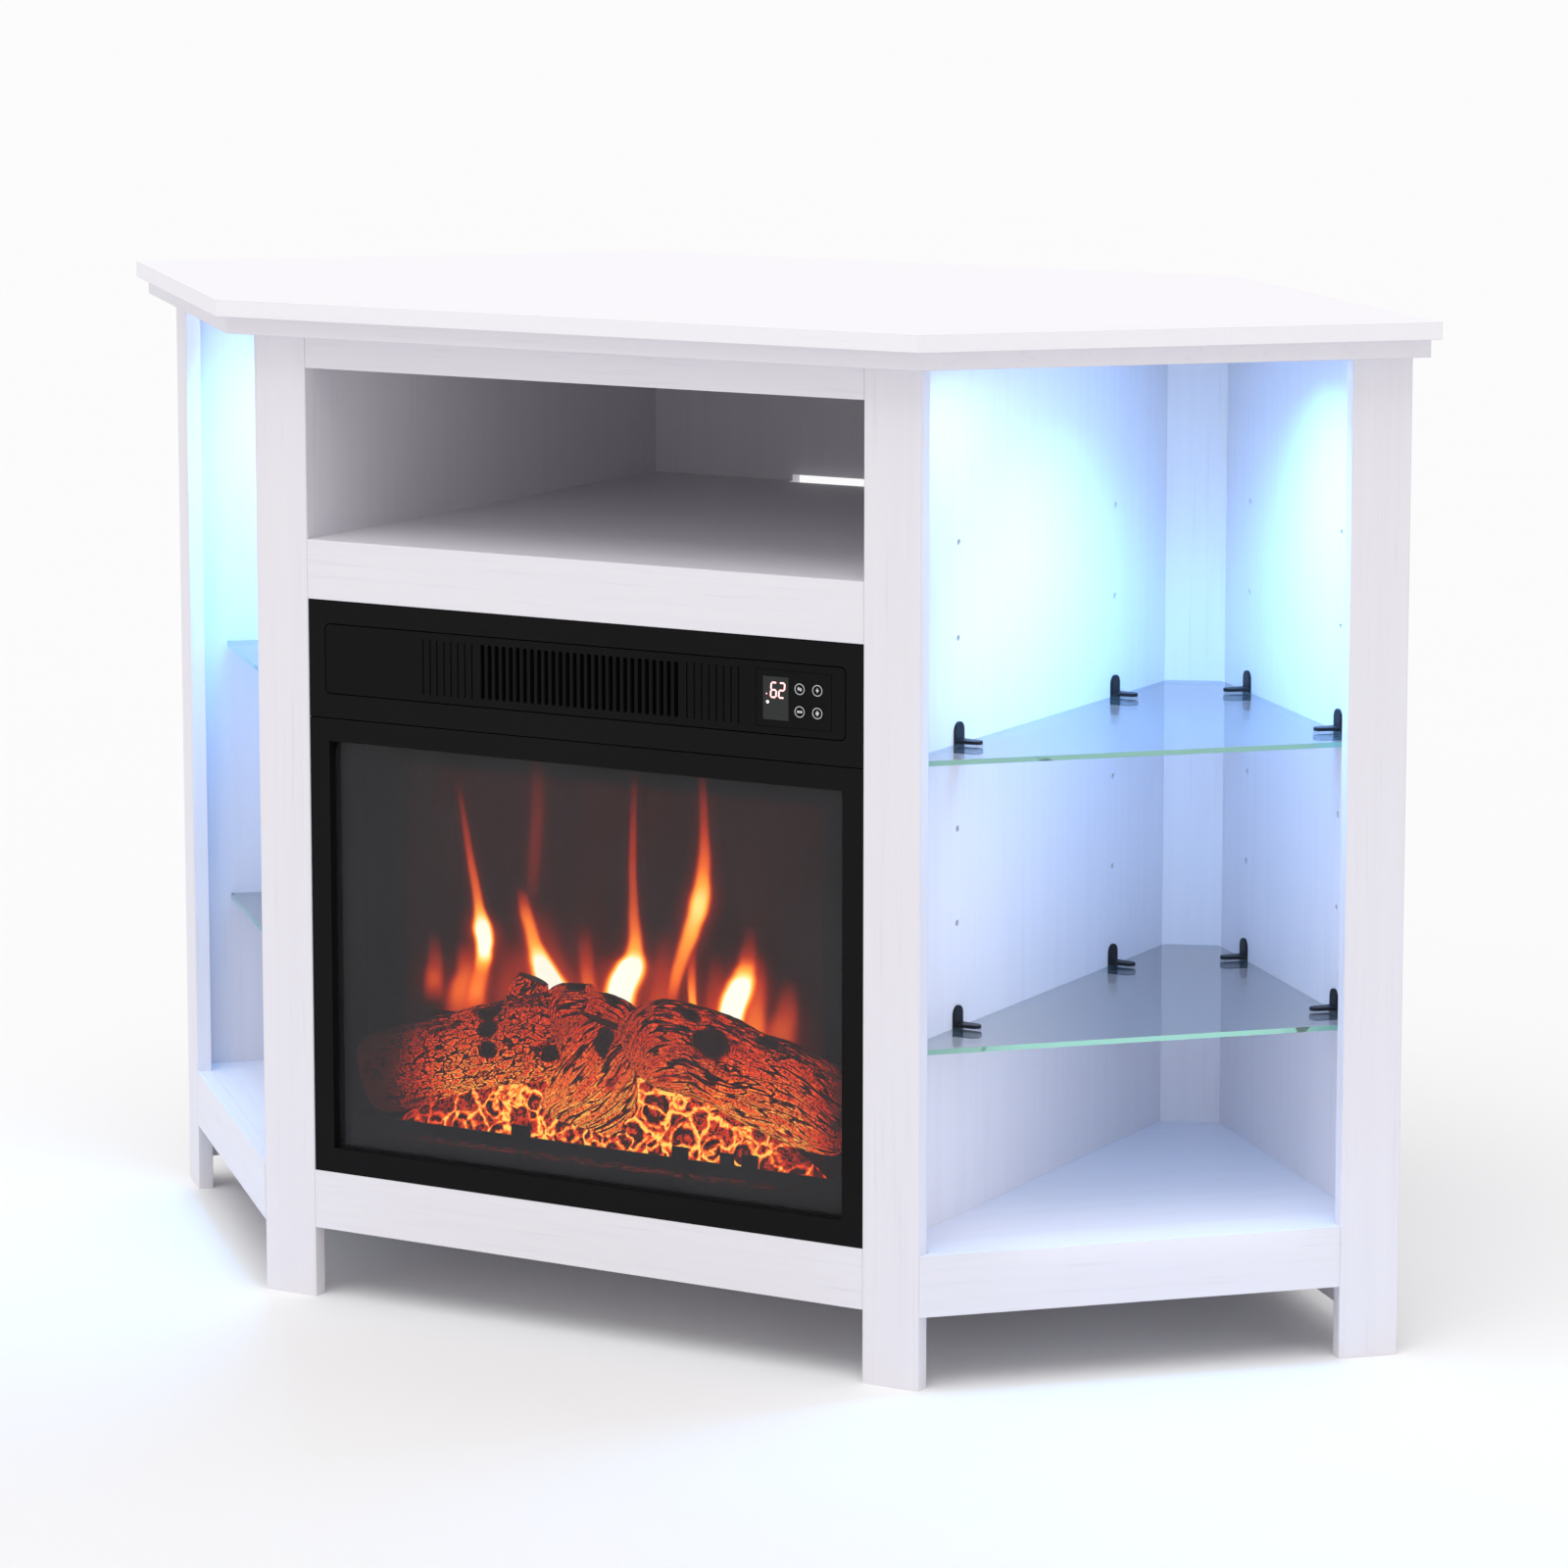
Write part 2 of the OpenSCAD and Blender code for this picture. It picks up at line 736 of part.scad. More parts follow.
// ---------------------------------------------------------------- insert: control strip
module round_rect(w, h, r) {
    hull_w = w - 2 * r;
    hull_h = h - 2 * r;
    square([hull_w, h], center = true);
    square([w, hull_h], center = true);
    for (x = [-1, 1], z = [-1, 1]) translate([x * hull_w / 2, z * hull_h / 2]) circle(r);
}

// A flat shape drawn as (x, z) and centred on the panel, from y to y + t
module on_panel(y, t) {
    translate([0, y + t, panel_z]) rotate([90, 0, 0]) linear_extrude(t) children();
}

module fascia_frame() {
    color("black") place() difference() {
        translate([-insert_half, face_y, fascia_z]) cube([2 * insert_half, frame_d, fascia_h]);
        on_panel(face_y - cut, panel_t + cut)
            round_rect(panel_w + 2 * panel_groove, panel_h + 2 * panel_groove,
                panel_r + panel_groove);
        on_panel(face_y, frame_d + cut)
            square([panel_w - 2 * panel_ledge, panel_h - 2 * panel_ledge], center = true);
    }
}

// One vent slot with round ends
module slot_shape(w, h) {
    square([w, h - w], center = true);
    for (z = [-1, 1]) translate([0, z * (h - w) / 2]) circle(d = w);
}

function button_at(i) = [
    button_x + (i % 2) * button_dx,
    (i < 2 ? 1 : -1) * button_dz / 2,
];

module control_panel() {
    line_d = 0.4;
    play = 0.4;
    ledge = 1.5;
    boss_r = 2.2;
    color("black") place() difference() {
        union() {
            on_panel(face_y, panel_t) round_rect(panel_w, panel_h, panel_r);
            for (x = board_boss_x()) translate([x, panel_back, panel_z + board_boss_rise()])
                rod_y(boss_r, board_y - panel_back);
        }
        for (i = [0:slot_n - 1])
            translate([(i - (slot_n - 1) / 2) * slot_pitch, 0, 0])
                on_panel(face_y - cut, panel_t + 2 * cut) slot_shape(slot_w, slot_h);
        for (side = [left, right], i = [0:flute_n - 1])
            translate([side * (slot_n / 2 + i + 1) * slot_pitch, 0, 0])
                on_panel(face_y - cut, flute_d + cut) square([flute_w, slot_h], center = true);
        translate([keypad_x, 0, 0]) on_panel(face_y - cut, line_d + cut) difference() {
            square([keypad_w, keypad_h], center = true);
            square([keypad_w - 2 * keypad_line, keypad_h - 2 * keypad_line], center = true);
        }
        translate([display_x, 0, 0]) {
            on_panel(face_y - cut, display_t + cut)
                square([display_w + play, display_h + play], center = true);
            on_panel(face_y, panel_t + cut)
                square([display_w - 2 * ledge, display_h - 2 * ledge], center = true);
        }
        for (i = [0:3])
            translate([button_at(i)[0], face_y - cut, panel_z + button_at(i)[1]])
                rod_y(button_r + button_clear, panel_t + 2 * cut);
    }
}

module display_window() {
    color("darkslategray") place() translate([display_x, 0, 0])
        on_panel(face_y, display_t) square([display_w, display_h], center = true);
}

function board_boss_x() = [
    keypad_x - keypad_w / 2 + display_margin / 2,
    keypad_x + keypad_w / 2 - 1,
];
function board_boss_rise() = 10;

// Circuit board with its numeric display and a push switch behind each button
module control_board() {
    size = [keypad_w + 4, keypad_h - 4];
    numerals = [display_w - 5, display_h - 7];
    numerals_front = face_y + display_t + 1;
    switch_size = 6;
    plunger_r = 1.7;
    plunger_front = panel_back + flange_t + button_travel + 0.1;
    switch_front = plunger_front + 1;
    color("darkgreen") place() {
        translate([keypad_x - size[0] / 2, board_y, panel_z - size[1] / 2])
            cube([size[0], board_thick, size[1]]);
        translate([display_x - numerals[0] / 2, numerals_front, panel_z - numerals[1] / 2])
            cube([numerals[0], board_y - numerals_front, numerals[1]]);
        for (i = [0:3]) translate([button_at(i)[0], 0, panel_z + button_at(i)[1]]) {
            translate([-switch_size / 2, switch_front, -switch_size / 2])
                cube([switch_size, board_y - switch_front, switch_size]);
            translate([0, plunger_front, 0]) rod_y(plunger_r, board_y - plunger_front);
        }
    }
}

// A push button: a round cap through the panel and a flange behind it
module push_button(i) {
    color("black") place()
        translate([button_at(i)[0], face_y - button_proud, panel_z + button_at(i)[1]]) {
            rod_y(button_r, panel_t + button_proud + flange_t);
            translate([0, panel_t + button_proud, 0])
                rod_y(button_r + button_flange, flange_t);
        }
}

// ---------------------------------------------------------------- insert: fire bed
module log_tray() {
    color("black") place() translate([-liner_half, behind_y, tray_z])
        cube([2 * liner_half, screen_y - behind_y, sheet_t]);
}

module flame_screen() {
    color("firebrick", 0.6) place() translate([-liner_half, screen_y, liner_floor])
        cube([2 * liner_half, screen_t, divider_z - liner_floor]);
}

// The fret's tabs, each as [centre as a share of the fret's half width, width, rise]
fret_tabs = [[-0.292, 17, 9], [0.35, 14, 9], [0.535, 12, 9], [0.624, 14, 10]];

module grate_fret() {
    z = tray_z + sheet_t;
    color("black") place() {
        translate([-fret_half, fret_y, z]) cube([2 * fret_half, fret_t, fret_h]);
        for (tab = fret_tabs)
            translate([tab[0] * fret_half - tab[1] / 2, fret_y, z])
                cube([tab[1], fret_t, fret_h + tab[2]]);
    }
}

// Outline of the ember bed as (y, z) above the tray; grow sets it back from what it meets
module bed_profile(grow) {
    low = tray_z + sheet_t;
    deep = screen_y - 0.5;
    polygon([
        [bed_y, low],
        [deep, low],
        [deep, low + bed_back_h + grow],
        [bed_y + 20, low + bed_back_h + grow],
        [bed_y + 8, low + bed_front_h + 12 + grow],
        [bed_y, low + bed_front_h + grow],
    ]);
}

function coal_size(i) = coal_r + 2.5 * sin(i * 137);
function coal_lift(i) = 3 * sin(i * 71);

// A sloping bed with a row of round log ends that face the window
module ember_bed() {
    low = tray_z + sheet_t;
    color("orangered") place() {
        translate([-bed_half, 0, 0]) along_x(2 * bed_half) bed_profile(0);
        for (i = [0:coal_n - 1])
            translate([
                (i - (coal_n - 1) / 2) * coal_pitch,
                bed_y,
                low + bed_front_h + coal_lift(i),
            ])
                rod_y(coal_size(i), 18);
    }
}

log_sides = 20;
log_mid_y = screen_y - 22;
// A log is a list of stations along its middle, each as shares of
// [the ember bed's half width, the bed's height, the mean log radius]
left_log = [
    [-1.03, 1.02, 0.76], [-0.87, 1.33, 0.93], [-0.69, 1.62, 1],
    [-0.44, 1.92, 1], [-0.23, 2.23, 1], [-0.12, 2.33, 0.83],
];
right_log = [
    [0.06, 2.38, 0.76], [0.2, 2.35, 1], [0.37, 2.23, 1.17],
    [0.55, 1.98, 1.31], [0.73, 1.69, 1.28], [0.97, 1.33, 1.17],
];
back_log = [[-0.25, 2.6, 0.6], [-0.14, 2.66, 0.7], [-0.02, 2.7, 0.6]];
stump_log = [
    [-0.03, 1.12, 1.1], [-0.01, 1.73, 1.07],
    [0.01, 2.35, 1], [0.01, 2.62, 0.72],
];
branch_log = [[-0.4, 2.21, 0.45], [-0.38, 2.67, 0.45], [-0.35, 2.96, 0.41]];

function log_station(p) = [p[0] * bed_half, p[1] * bed_back_h, p[2] * log_r];

// Ridged ring of points round one station, square to the log's run in the x-z plane
function log_ring(path, i, flat, mid) =
    let (
        a = log_station(path[max(i - 1, 0)]),
        b = log_station(path[min(i + 1, len(path) - 1)]),
        run = atan2(b[1] - a[1], b[0] - a[0]),
        c = log_station(path[i])
    )
    [for (k = [0:log_sides - 1])
        let (
            t = k * 360 / log_sides,
            r = c[2] * (1 + bark_depth * sin(5 * t + 40 * i) + bark_depth * cos(7 * t - 65 * i))
        )
        [
            c[0] - r * cos(t) * sin(run),
            mid + r * flat * sin(t),
            c[1] + r * cos(t) * cos(run),
        ]];

module bark_log(path, flat, mid) {
    n = len(path);
    points = [for (i = [0:n - 1]) each log_ring(path, i, flat, mid)];
    walls = [for (i = [0:n - 2], k = [0:log_sides - 1])
        let (
            a = i * log_sides + k,
            b = i * log_sides + (k + 1) % log_sides
        )
        each [[a, b, b + log_sides], [a, b + log_sides, a + log_sides]]];
    near = [for (k = [0:log_sides - 1]) log_sides - 1 - k];
    far = [for (k = [0:log_sides - 1]) (n - 1) * log_sides + k];
    polyhedron(points, concat(walls, [near, far]));
}

// The moulded log set: five logs that lean on each other over the ember bed
module log_set() {
    color("saddlebrown") place() difference() {
        translate([0, 0, tray_z + sheet_t]) {
            bark_log(left_log, 0.55, log_mid_y);
            bark_log(right_log, 0.46, log_mid_y);
            bark_log(back_log, 0.75, log_mid_y + 4);
            bark_log(stump_log, 0.5, log_mid_y - 4);
            bark_log(branch_log, 0.75, log_mid_y + 5);
        }
        translate([-liner_half, 0, 0]) along_x(2 * liner_half) bed_profile(0.3);
        translate([-liner_half, 0, tray_z]) cube([2 * liner_half, bed_y, bed_back_h]);
    }
}

// ---------------------------------------------------------------- insert: flame drive
module flame_led_board() {
    half = liner_half - lamp_board_gap;
    lamp_n = floor(2 * half / lamp_pitch);
    lamp_t = 1.5;
    y = screen_y + screen_t + 5;
    color("ivory") place() {
        translate([-half, y, liner_floor]) cube([2 * half, board_thick, lamp_board_h]);
        for (i = [0:lamp_n - 1])
            translate([
                (i - (lamp_n - 1) / 2) * lamp_pitch - lamp_size / 2,
                y + board_thick,
                liner_floor + lamp_board_h - 1.5 * lamp_size,
            ])
                cube([lamp_size, lamp_t, lamp_size]);
    }
}

// A rod with bent reflectors: two blades at each station, turned on from the last
module flame_rotor() {
    bush_t = 10;
    far = liner_half - rotor_motor_t + 8;
    near = -liner_half + 2;
    station_n = floor((far - near - 2 * bush_t - rotor_pitch) / rotor_pitch);
    color("silver") place() translate([0, rotor_y, rotor_z]) {
        translate([near, 0, 0]) rod_x(rod_r, far - near);
        for (i = [0:station_n - 1])
            translate([(i - (station_n - 1) / 2) * rotor_pitch, 0, 0])
                rotate([i * 50, 0, 0])
                    for (turn = [0, 180]) rotate([turn, 0, 0])
                        translate([0, 0, rotor_r / 2]) rotate([0, 18, 0])
                            cube([reflector_w, reflector_t, rotor_r - 4], center = true);
        translate([near + bush_t, 0, 0]) rod_x(rod_r + 2, 3);
    }
}

module rotor_bush() {
    color("goldenrod") place() translate([-liner_half, rotor_y, rotor_z]) difference() {
        union() {
            rod_x(7, 10);
            translate([0, -12, -12]) cube([2, 24, 24]);
        }
        translate([-cut, 0, 0]) rod_x(rod_r + run_clear, 10 + 2 * cut);
    }
}

module rotor_motor() {
    ear = [1.5, 2 * rotor_motor_r + 14, 12];
    color("gray") place() translate([liner_half - rotor_motor_t, rotor_y, rotor_z]) difference() {
        union() {
            rod_x(rotor_motor_r, rotor_motor_t);
            translate([-4, 0, 0]) rod_x(rod_r + 3, 5);
            translate([rotor_motor_t - ear[0], -ear[1] / 2, -ear[2] / 2]) cube(ear);
        }
        translate([-4 - cut, 0, 0]) rod_x(rod_r + run_clear, 13 + cut);
    }
}

// ---------------------------------------------------------------- insert: blower
// Outline of the housing as (y, z) about the wheel's axis: a drum with a duct to the front
module blower_outline(grow) {
    circle(r = housing_r + grow);
    translate([behind_y + 0.5 - blower_y, -duct_half - grow])
        square([blower_y - behind_y - 0.5, 2 * duct_half + 2 * grow]);
}

module blower_housing() {
    intake = 2 * housing_r * 0.7;
    color("lightgray") place() translate([0, blower_y, blower_z]) {
        difference() {
            translate([-housing_half, 0, 0]) along_x(2 * housing_half) difference() {
                blower_outline(sheet_t);
                blower_outline(0);
                translate([behind_y + 0.5 - blower_y - cut, -duct_half])
                    square([4 * cut, 2 * duct_half]);
            }
            translate([-housing_half - cut, 0, -intake / 2])
                cube([2 * (housing_half + cut), 2 * housing_r, intake]);
        }
        for (x = [-housing_half - sheet_t, housing_half])
            translate([x, 0, 0]) difference() {
                along_x(sheet_t) blower_outline(sheet_t);
                translate([-cut, 0, 0]) rod_x(shaft_r + run_clear, sheet_t + 2 * cut);
            }
        for (x = [-housing_half, housing_half - foot_w])
            translate([x, -2 * foot_d, divider_z + sheet_t - blower_z])
                cube([
                    foot_w,
                    foot_d,
                    blower_z - divider_z - sheet_t - duct_half - sheet_t / 2,
                ]);
    }
}

module blower_wheel() {
    disc_t = 2;
    blade = [1, 5];
    shaft_far = housing_half + sheet_t + 8;
    shaft_near = -housing_half - sheet_t - 3;
    color("silver") place() translate([0, blower_y, blower_z]) {
        translate([shaft_near, 0, 0]) rod_x(shaft_r, shaft_far - shaft_near);
        for (x = [-wheel_len / 2, -disc_t / 2, wheel_len / 2 - disc_t])
            translate([x, 0, 0]) rod_x(wheel_r, disc_t);
        for (i = [0:blade_n - 1])
            rotate([i * 360 / blade_n, 0, 0])
                translate([-wheel_len / 2, 0, wheel_r - blade[1] - 1.5])
                    rotate([25, 0, 0])
                        cube([wheel_len, blade[0], blade[1]]);
    }
}

module blower_motor() {
    color("gray") place() translate([housing_half + sheet_t, blower_y, blower_z]) difference() {
        union() {
            rod_x(blower_motor_r, blower_motor_len);
            translate([blower_motor_len, 0, 0]) rod_x(9, 4);
        }
        translate([-cut, 0, 0]) rod_x(shaft_r + run_clear, 12 + cut);
    }
}

// Ceramic heating tubes between two rails, crossed by thin fins
module heating_element() {
    half = housing_half - 3;
    y = behind_y + heater_gap;
    low = blower_z - duct_half;
    rail = 3;
    tube = 4;
    fin_t = 0.8;
    fin_n = floor(2 * half / fin_pitch);
    color("lightsteelblue") place() {
        for (z = [0, (2 * duct_half - tube) / 2, 2 * duct_half - rail - 1])
            translate([-half, y, low + z]) cube([2 * half, heater_d, z == 0 ? rail : tube - 1]);
        for (i = [0:fin_n - 1])
            translate([(i - (fin_n - 1) / 2) * fin_pitch - fin_t / 2, y + 1, low + 1])
                cube([fin_t, heater_d - 2, 2 * duct_half - 3]);
    }
}

// ---------------------------------------------------------------- fixings
function gland_x() = -liner_half + gland_side;
function gland_z() = liner_floor + gland_rise;
function gland_wall() = 2.4;

module cord_gland() {
    flange_r = gland_bore_r + gland_wall() + 3;
    tube_len = 14;
    color("black") place() translate([gland_x(), liner_back - 3, gland_z()]) difference() {
        union() {
            rod_y(gland_bore_r + gland_wall(), 3 + sheet_t + tube_len);
            translate([0, 3 + sheet_t, 0]) rod_y(flange_r, 2);
        }
        translate([0, -cut, 0]) rod_y(gland_bore_r, 3 + sheet_t + tube_len + 2 * cut);
    }
}

function rear_screw_heights() = [
    rail_z + rail_h / 2,
    shelf_z + 15,
    post_h - 20,
];
function bracket_z() = liner_floor + bracket_rise;
function casing_screw_x() = open_half - bracket_leg / 2 - 5;
function partition_screw_y() = casing_back_y + bracket_leg / 2 + 5;

// The clearance holes of the rear boards' screws
module rear_screw_ways(heights) {
    for (side = [left, right], z = heights)
        translate([side * (open_half + board_t / 2), back_y - cut, z])
            rod_y(screw_r + run_clear, back_t + 2 * cut);
}

module bracket_screw_way(x, len) {
    translate([x - cut, partition_screw_y(), bracket_z()]) rod_x(screw_r + run_clear, len + cut);
}

// Two angle brackets hold the casing's back to the partitions
module insert_brackets() {
    color("lightgray") for (side = [left, right]) on_side(side) difference() {
        union() {
            translate([open_half - bracket_leg, casing_back_y, bracket_z() - bracket_h / 2])
                cube([bracket_leg, bracket_t, bracket_h]);
            translate([open_half - bracket_t, casing_back_y, bracket_z() - bracket_h / 2])
                cube([bracket_t, bracket_leg, bracket_h]);
        }
        translate([casing_screw_x(), casing_back_y - cut, bracket_z()])
            rod_y(screw_r + run_clear, bracket_t + 2 * cut);
        bracket_screw_way(open_half - bracket_t, bracket_t + cut);
    }
}

// A cross-recessed pan-head screw: the head's underside on y = 0, the shank along -y
module screw() {
    slot = 1;
    color("silver") difference() {
        union() {
            translate([0, -screw_len, 0]) rod_y(screw_r, screw_len);
            rod_y(screw_head_r, screw_head_t);
        }
        for (turn = [0, 90]) rotate([0, turn, 0])
            translate([-slot / 2, screw_head_t - slot, -screw_head_r * 0.6])
                cube([slot, slot + cut, screw_head_r * 1.2]);
    }
}

module fixing_screws() {
    for (side = [left, right]) on_side(side) {
        for (z = rear_screw_heights()) translate([open_half + board_t / 2, rear_y, z]) screw();
        translate([casing_screw_x(), casing_back_y + bracket_t, bracket_z()]) screw();
        translate([open_half - bracket_t, partition_screw_y(), bracket_z()])
            rotate([0, 0, 90]) screw();
    }
}

top_slab();
top_moulding();
front_post(left);  // front_post_left
front_post(right);  // front_post_right
wing_post(left);  // wing_post_left
wing_post(right);  // wing_post_right
header_rail();
shelf_rail();
bottom_rail();
wing_rail(left);  // wing_rail_left
wing_rail(right);  // wing_rail_right
partition(left);  // partition_left
partition(right);  // partition_right
media_shelf();
centre_base();
bay_floor(left);  // bay_floor_left
bay_floor(right);  // bay_floor_right
rear_panel();
rear_rail();
rear_wall(left);  // rear_wall_left
rear_wall(right);  // rear_wall_right
rear_stile(left);  // rear_stile_left
rear_stile(right);  // rear_stile_right
glass_shelf(left, upper_shelf_row);  // glass_shelf_upper_left
glass_shelf(right, upper_shelf_row);  // glass_shelf_upper_right
glass_shelf(left, 0);  // glass_shelf_lower_left
glass_shelf(right, 0);  // glass_shelf_lower_right
shelf_clips();
led_channel(left);  // led_channel_left
led_channel(right);  // led_channel_right
led_strip(left);  // led_strip_left
led_strip(right);  // led_strip_right
insert_casing();
firebox_divider();
window_frame();
window_glass();
fascia_frame();
control_panel();
display_window();
control_board();
push_button(0);  // button_power
push_button(1);  // button_flame
push_button(2);  // button_heat
push_button(3);  // button_timer
log_set();
ember_bed();
grate_fret();
log_tray();
flame_screen();
flame_rotor();
rotor_bush();
rotor_motor();
flame_led_board();
blower_housing();
blower_wheel();
blower_motor();
heating_element();
insert_brackets();
fixing_screws();
cord_gland();
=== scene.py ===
"""Looks of the corner TV cabinet with its electric fireplace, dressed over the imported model."""
import math
import bmesh
import bpy
from mathutils import Matrix, Vector, noise


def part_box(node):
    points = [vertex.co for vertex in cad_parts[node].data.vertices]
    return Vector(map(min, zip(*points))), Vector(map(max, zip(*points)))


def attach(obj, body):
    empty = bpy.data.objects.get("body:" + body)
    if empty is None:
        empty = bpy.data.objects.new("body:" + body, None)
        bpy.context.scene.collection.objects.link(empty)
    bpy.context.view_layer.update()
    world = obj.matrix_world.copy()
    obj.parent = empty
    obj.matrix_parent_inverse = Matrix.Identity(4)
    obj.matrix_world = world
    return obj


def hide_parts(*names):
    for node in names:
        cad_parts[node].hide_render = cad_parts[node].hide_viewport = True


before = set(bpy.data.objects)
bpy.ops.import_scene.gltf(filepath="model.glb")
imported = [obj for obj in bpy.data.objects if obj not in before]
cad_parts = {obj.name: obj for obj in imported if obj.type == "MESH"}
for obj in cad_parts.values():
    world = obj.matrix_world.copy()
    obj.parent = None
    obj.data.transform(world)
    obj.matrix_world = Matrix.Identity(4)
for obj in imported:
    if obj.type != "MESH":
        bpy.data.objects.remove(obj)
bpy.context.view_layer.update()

# ------------------------------------------------------------------ sizes, metres
LOW, HIGH = 0, 1
front_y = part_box("shelf_rail")[LOW][1]          # front plane of posts and rails
half_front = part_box("front_post_right")[HIGH][0]
BUTTONS = ("power", "flame", "heat", "timer")

# Colours, linear
WHITE = (0.80, 0.775, 0.815)
WHITE_SHADE = (0.70, 0.675, 0.735)
BLACK = (0.0, 0.0, 0.0)
LED_COLOUR = (0.42, 0.80, 1.0)


# ------------------------------------------------------------------ node materials
class Paint:
    """A node material on one Principled shader, with short calls for the nodes it needs."""

    def __init__(self, name, colour=(0.5, 0.5, 0.5), roughness=0.5, metallic=0.0):
        self.material = bpy.data.materials.new(name)
        self.material.use_nodes = True
        self.tree = self.material.node_tree
        self.shader = self.tree.nodes["Principled BSDF"]
        self.set("Base Color", (*colour, 1))
        self.set("Roughness", roughness)
        self.set("Metallic", metallic)
        self.place = self.add("ShaderNodeTexCoord").outputs["Object"]

    def add(self, kind, **fields):
        node = self.tree.nodes.new(kind)
        for field, value in fields.items():
            setattr(node, field, value)
        return node

    def join(self, source, target):
        self.tree.links.new(source, target)

    def feed(self, socket, value):
        """Sets a socket, or links it where the value is another node's output."""
        if isinstance(value, bpy.types.NodeSocket):
            self.join(value, socket)
        elif isinstance(value, tuple) and len(value) == 3 and socket.type == "RGBA":
            socket.default_value = (*value, 1)
        else:
            socket.default_value = value

    def set(self, name, value):
        self.feed(self.shader.inputs[name], value)

    def turned(self, degrees):
        """The place, turned about the vertical so that x runs along a board."""
        node = self.add("ShaderNodeMapping")
        self.join(self.place, node.inputs["Vector"])
        node.inputs["Rotation"].default_value[2] = math.radians(degrees)
        return node.outputs["Vector"]

    def stretched(self, scale, place=None):
        node = self.add("ShaderNodeMapping")
        self.join(place or self.place, node.inputs["Vector"])
        node.inputs["Scale"].default_value = scale
        return node.outputs["Vector"]

    def noise(self, scale, detail=4.0, roughness=0.55, place=None, distortion=0.0):
        node = self.add("ShaderNodeTexNoise")
        self.join(place or self.place, node.inputs["Vector"])
        node.inputs["Scale"].default_value = scale
        node.inputs["Detail"].default_value = detail
        node.inputs["Roughness"].default_value = roughness
        node.inputs["Distortion"].default_value = distortion
        return node.outputs["Fac"]

    def cell_edges(self, scale, place):
        """How far each point lies from the edge of its own random cell."""
        node = self.add("ShaderNodeTexVoronoi", feature="DISTANCE_TO_EDGE")
        self.join(place, node.inputs["Vector"])
        node.inputs["Scale"].default_value = scale
        return node.outputs["Distance"]

    def math(self, operation, a, b=0.5):
        node = self.add("ShaderNodeMath", operation=operation)
        self.feed(node.inputs[0], a)
        self.feed(node.inputs[1], b)
        return node.outputs[0]

    def times(self, value, *others):
        for other in others:
            value = self.math("MULTIPLY", value, other)
        return value

    def plus(self, value, *others):
        for other in others:
            value = self.math("ADD", value, other)
        return value

    def less(self, a, b):
        return self.math("SUBTRACT", a, b)

    def unsigned(self, value):
        return self.math("ABSOLUTE", value)

    def span(self, value, from_low, from_high, to_low=0.0, to_high=1.0, smooth=True):
        """Carries a value from one span to another, held at the ends."""
        node = self.add("ShaderNodeMapRange", clamp=True)
        node.interpolation_type = "SMOOTHSTEP" if smooth else "LINEAR"
        self.feed(node.inputs["Value"], value)
        for name, number in (("From Min", from_low), ("From Max", from_high),
                             ("To Min", to_low), ("To Max", to_high)):
            self.feed(node.inputs[name], number)
        return node.outputs["Result"]

    def mix(self, factor, a, b):
        node = self.add("ShaderNodeMix", data_type="RGBA")
        self.feed(node.inputs[0], factor)
        self.feed(node.inputs[6], a)
        self.feed(node.inputs[7], b)
        return node.outputs[2]

    def ramp(self, factor, stops):
        node = self.add("ShaderNodeValToRGB")
        self.join(factor, node.inputs["Fac"])
        edge = node.color_ramp.elements
        while len(edge) < len(stops):
            edge.new(0.5)
        for element, (place, colour) in zip(edge, stops):
            element.position = place
            element.color = (*colour, 1)
        return node.outputs["Color"]

    def bent(self, place, scale, reach):
        """Shifts a place about by a noise, so that a pattern laid on it runs crooked."""
        bend = self.add("ShaderNodeTexNoise")
        self.join(place, bend.inputs["Vector"])
        bend.inputs["Scale"].default_value = scale
        slight = self.add("ShaderNodeVectorMath", operation="SCALE")
        self.join(bend.outputs["Color"], slight.inputs[0])
        slight.inputs["Scale"].default_value = reach
        moved = self.add("ShaderNodeVectorMath", operation="ADD")
        self.join(place, moved.inputs[0])
        self.join(slight.outputs[0], moved.inputs[1])
        return moved.outputs[0]

    def stored(self, name):
        """A number kept on the mesh's own vertices."""
        return self.add("ShaderNodeAttribute", attribute_name=name).outputs["Fac"]

    def grain_place(self):
        """Place along and round a log, in metres, from the mesh's own grain map."""
        return self.add("ShaderNodeUVMap", uv_map="grain").outputs["UV"]

    def axis(self, name, place=None):
        node = self.add("ShaderNodeSeparateXYZ")
        self.join(place or self.place, node.inputs[0])
        return node.outputs[name]

    def facing(self, name):
        """One part of the surface's own direction, as in the model's frame."""
        node = self.add("ShaderNodeSeparateXYZ")
        self.join(self.add("ShaderNodeNewGeometry").outputs["True Normal"], node.inputs[0])
        return node.outputs[name]

    def bump(self, height, strength, distance, soften=0.0):
        node = self.add("ShaderNodeBump")
        node.inputs["Strength"].default_value = strength
        node.inputs["Distance"].default_value = distance
        self.join(height, node.inputs["Height"])
        if soften:
            edge = self.add("ShaderNodeBevel", samples=4)
            edge.inputs["Radius"].default_value = soften
            self.join(edge.outputs["Normal"], node.inputs["Normal"])
        self.join(node.outputs["Normal"], self.shader.inputs["Normal"])

    def emit(self, colour, strength):
        self.set("Emission Color", colour)
        self.set("Emission Strength", strength)


PORE_SHADE, BAND_SHADE = 0.46, 0.17     # how far pores and broad bands darken the laminate
GLASS_EDGE = 0.004                      # how far the green of a front edge reaches in


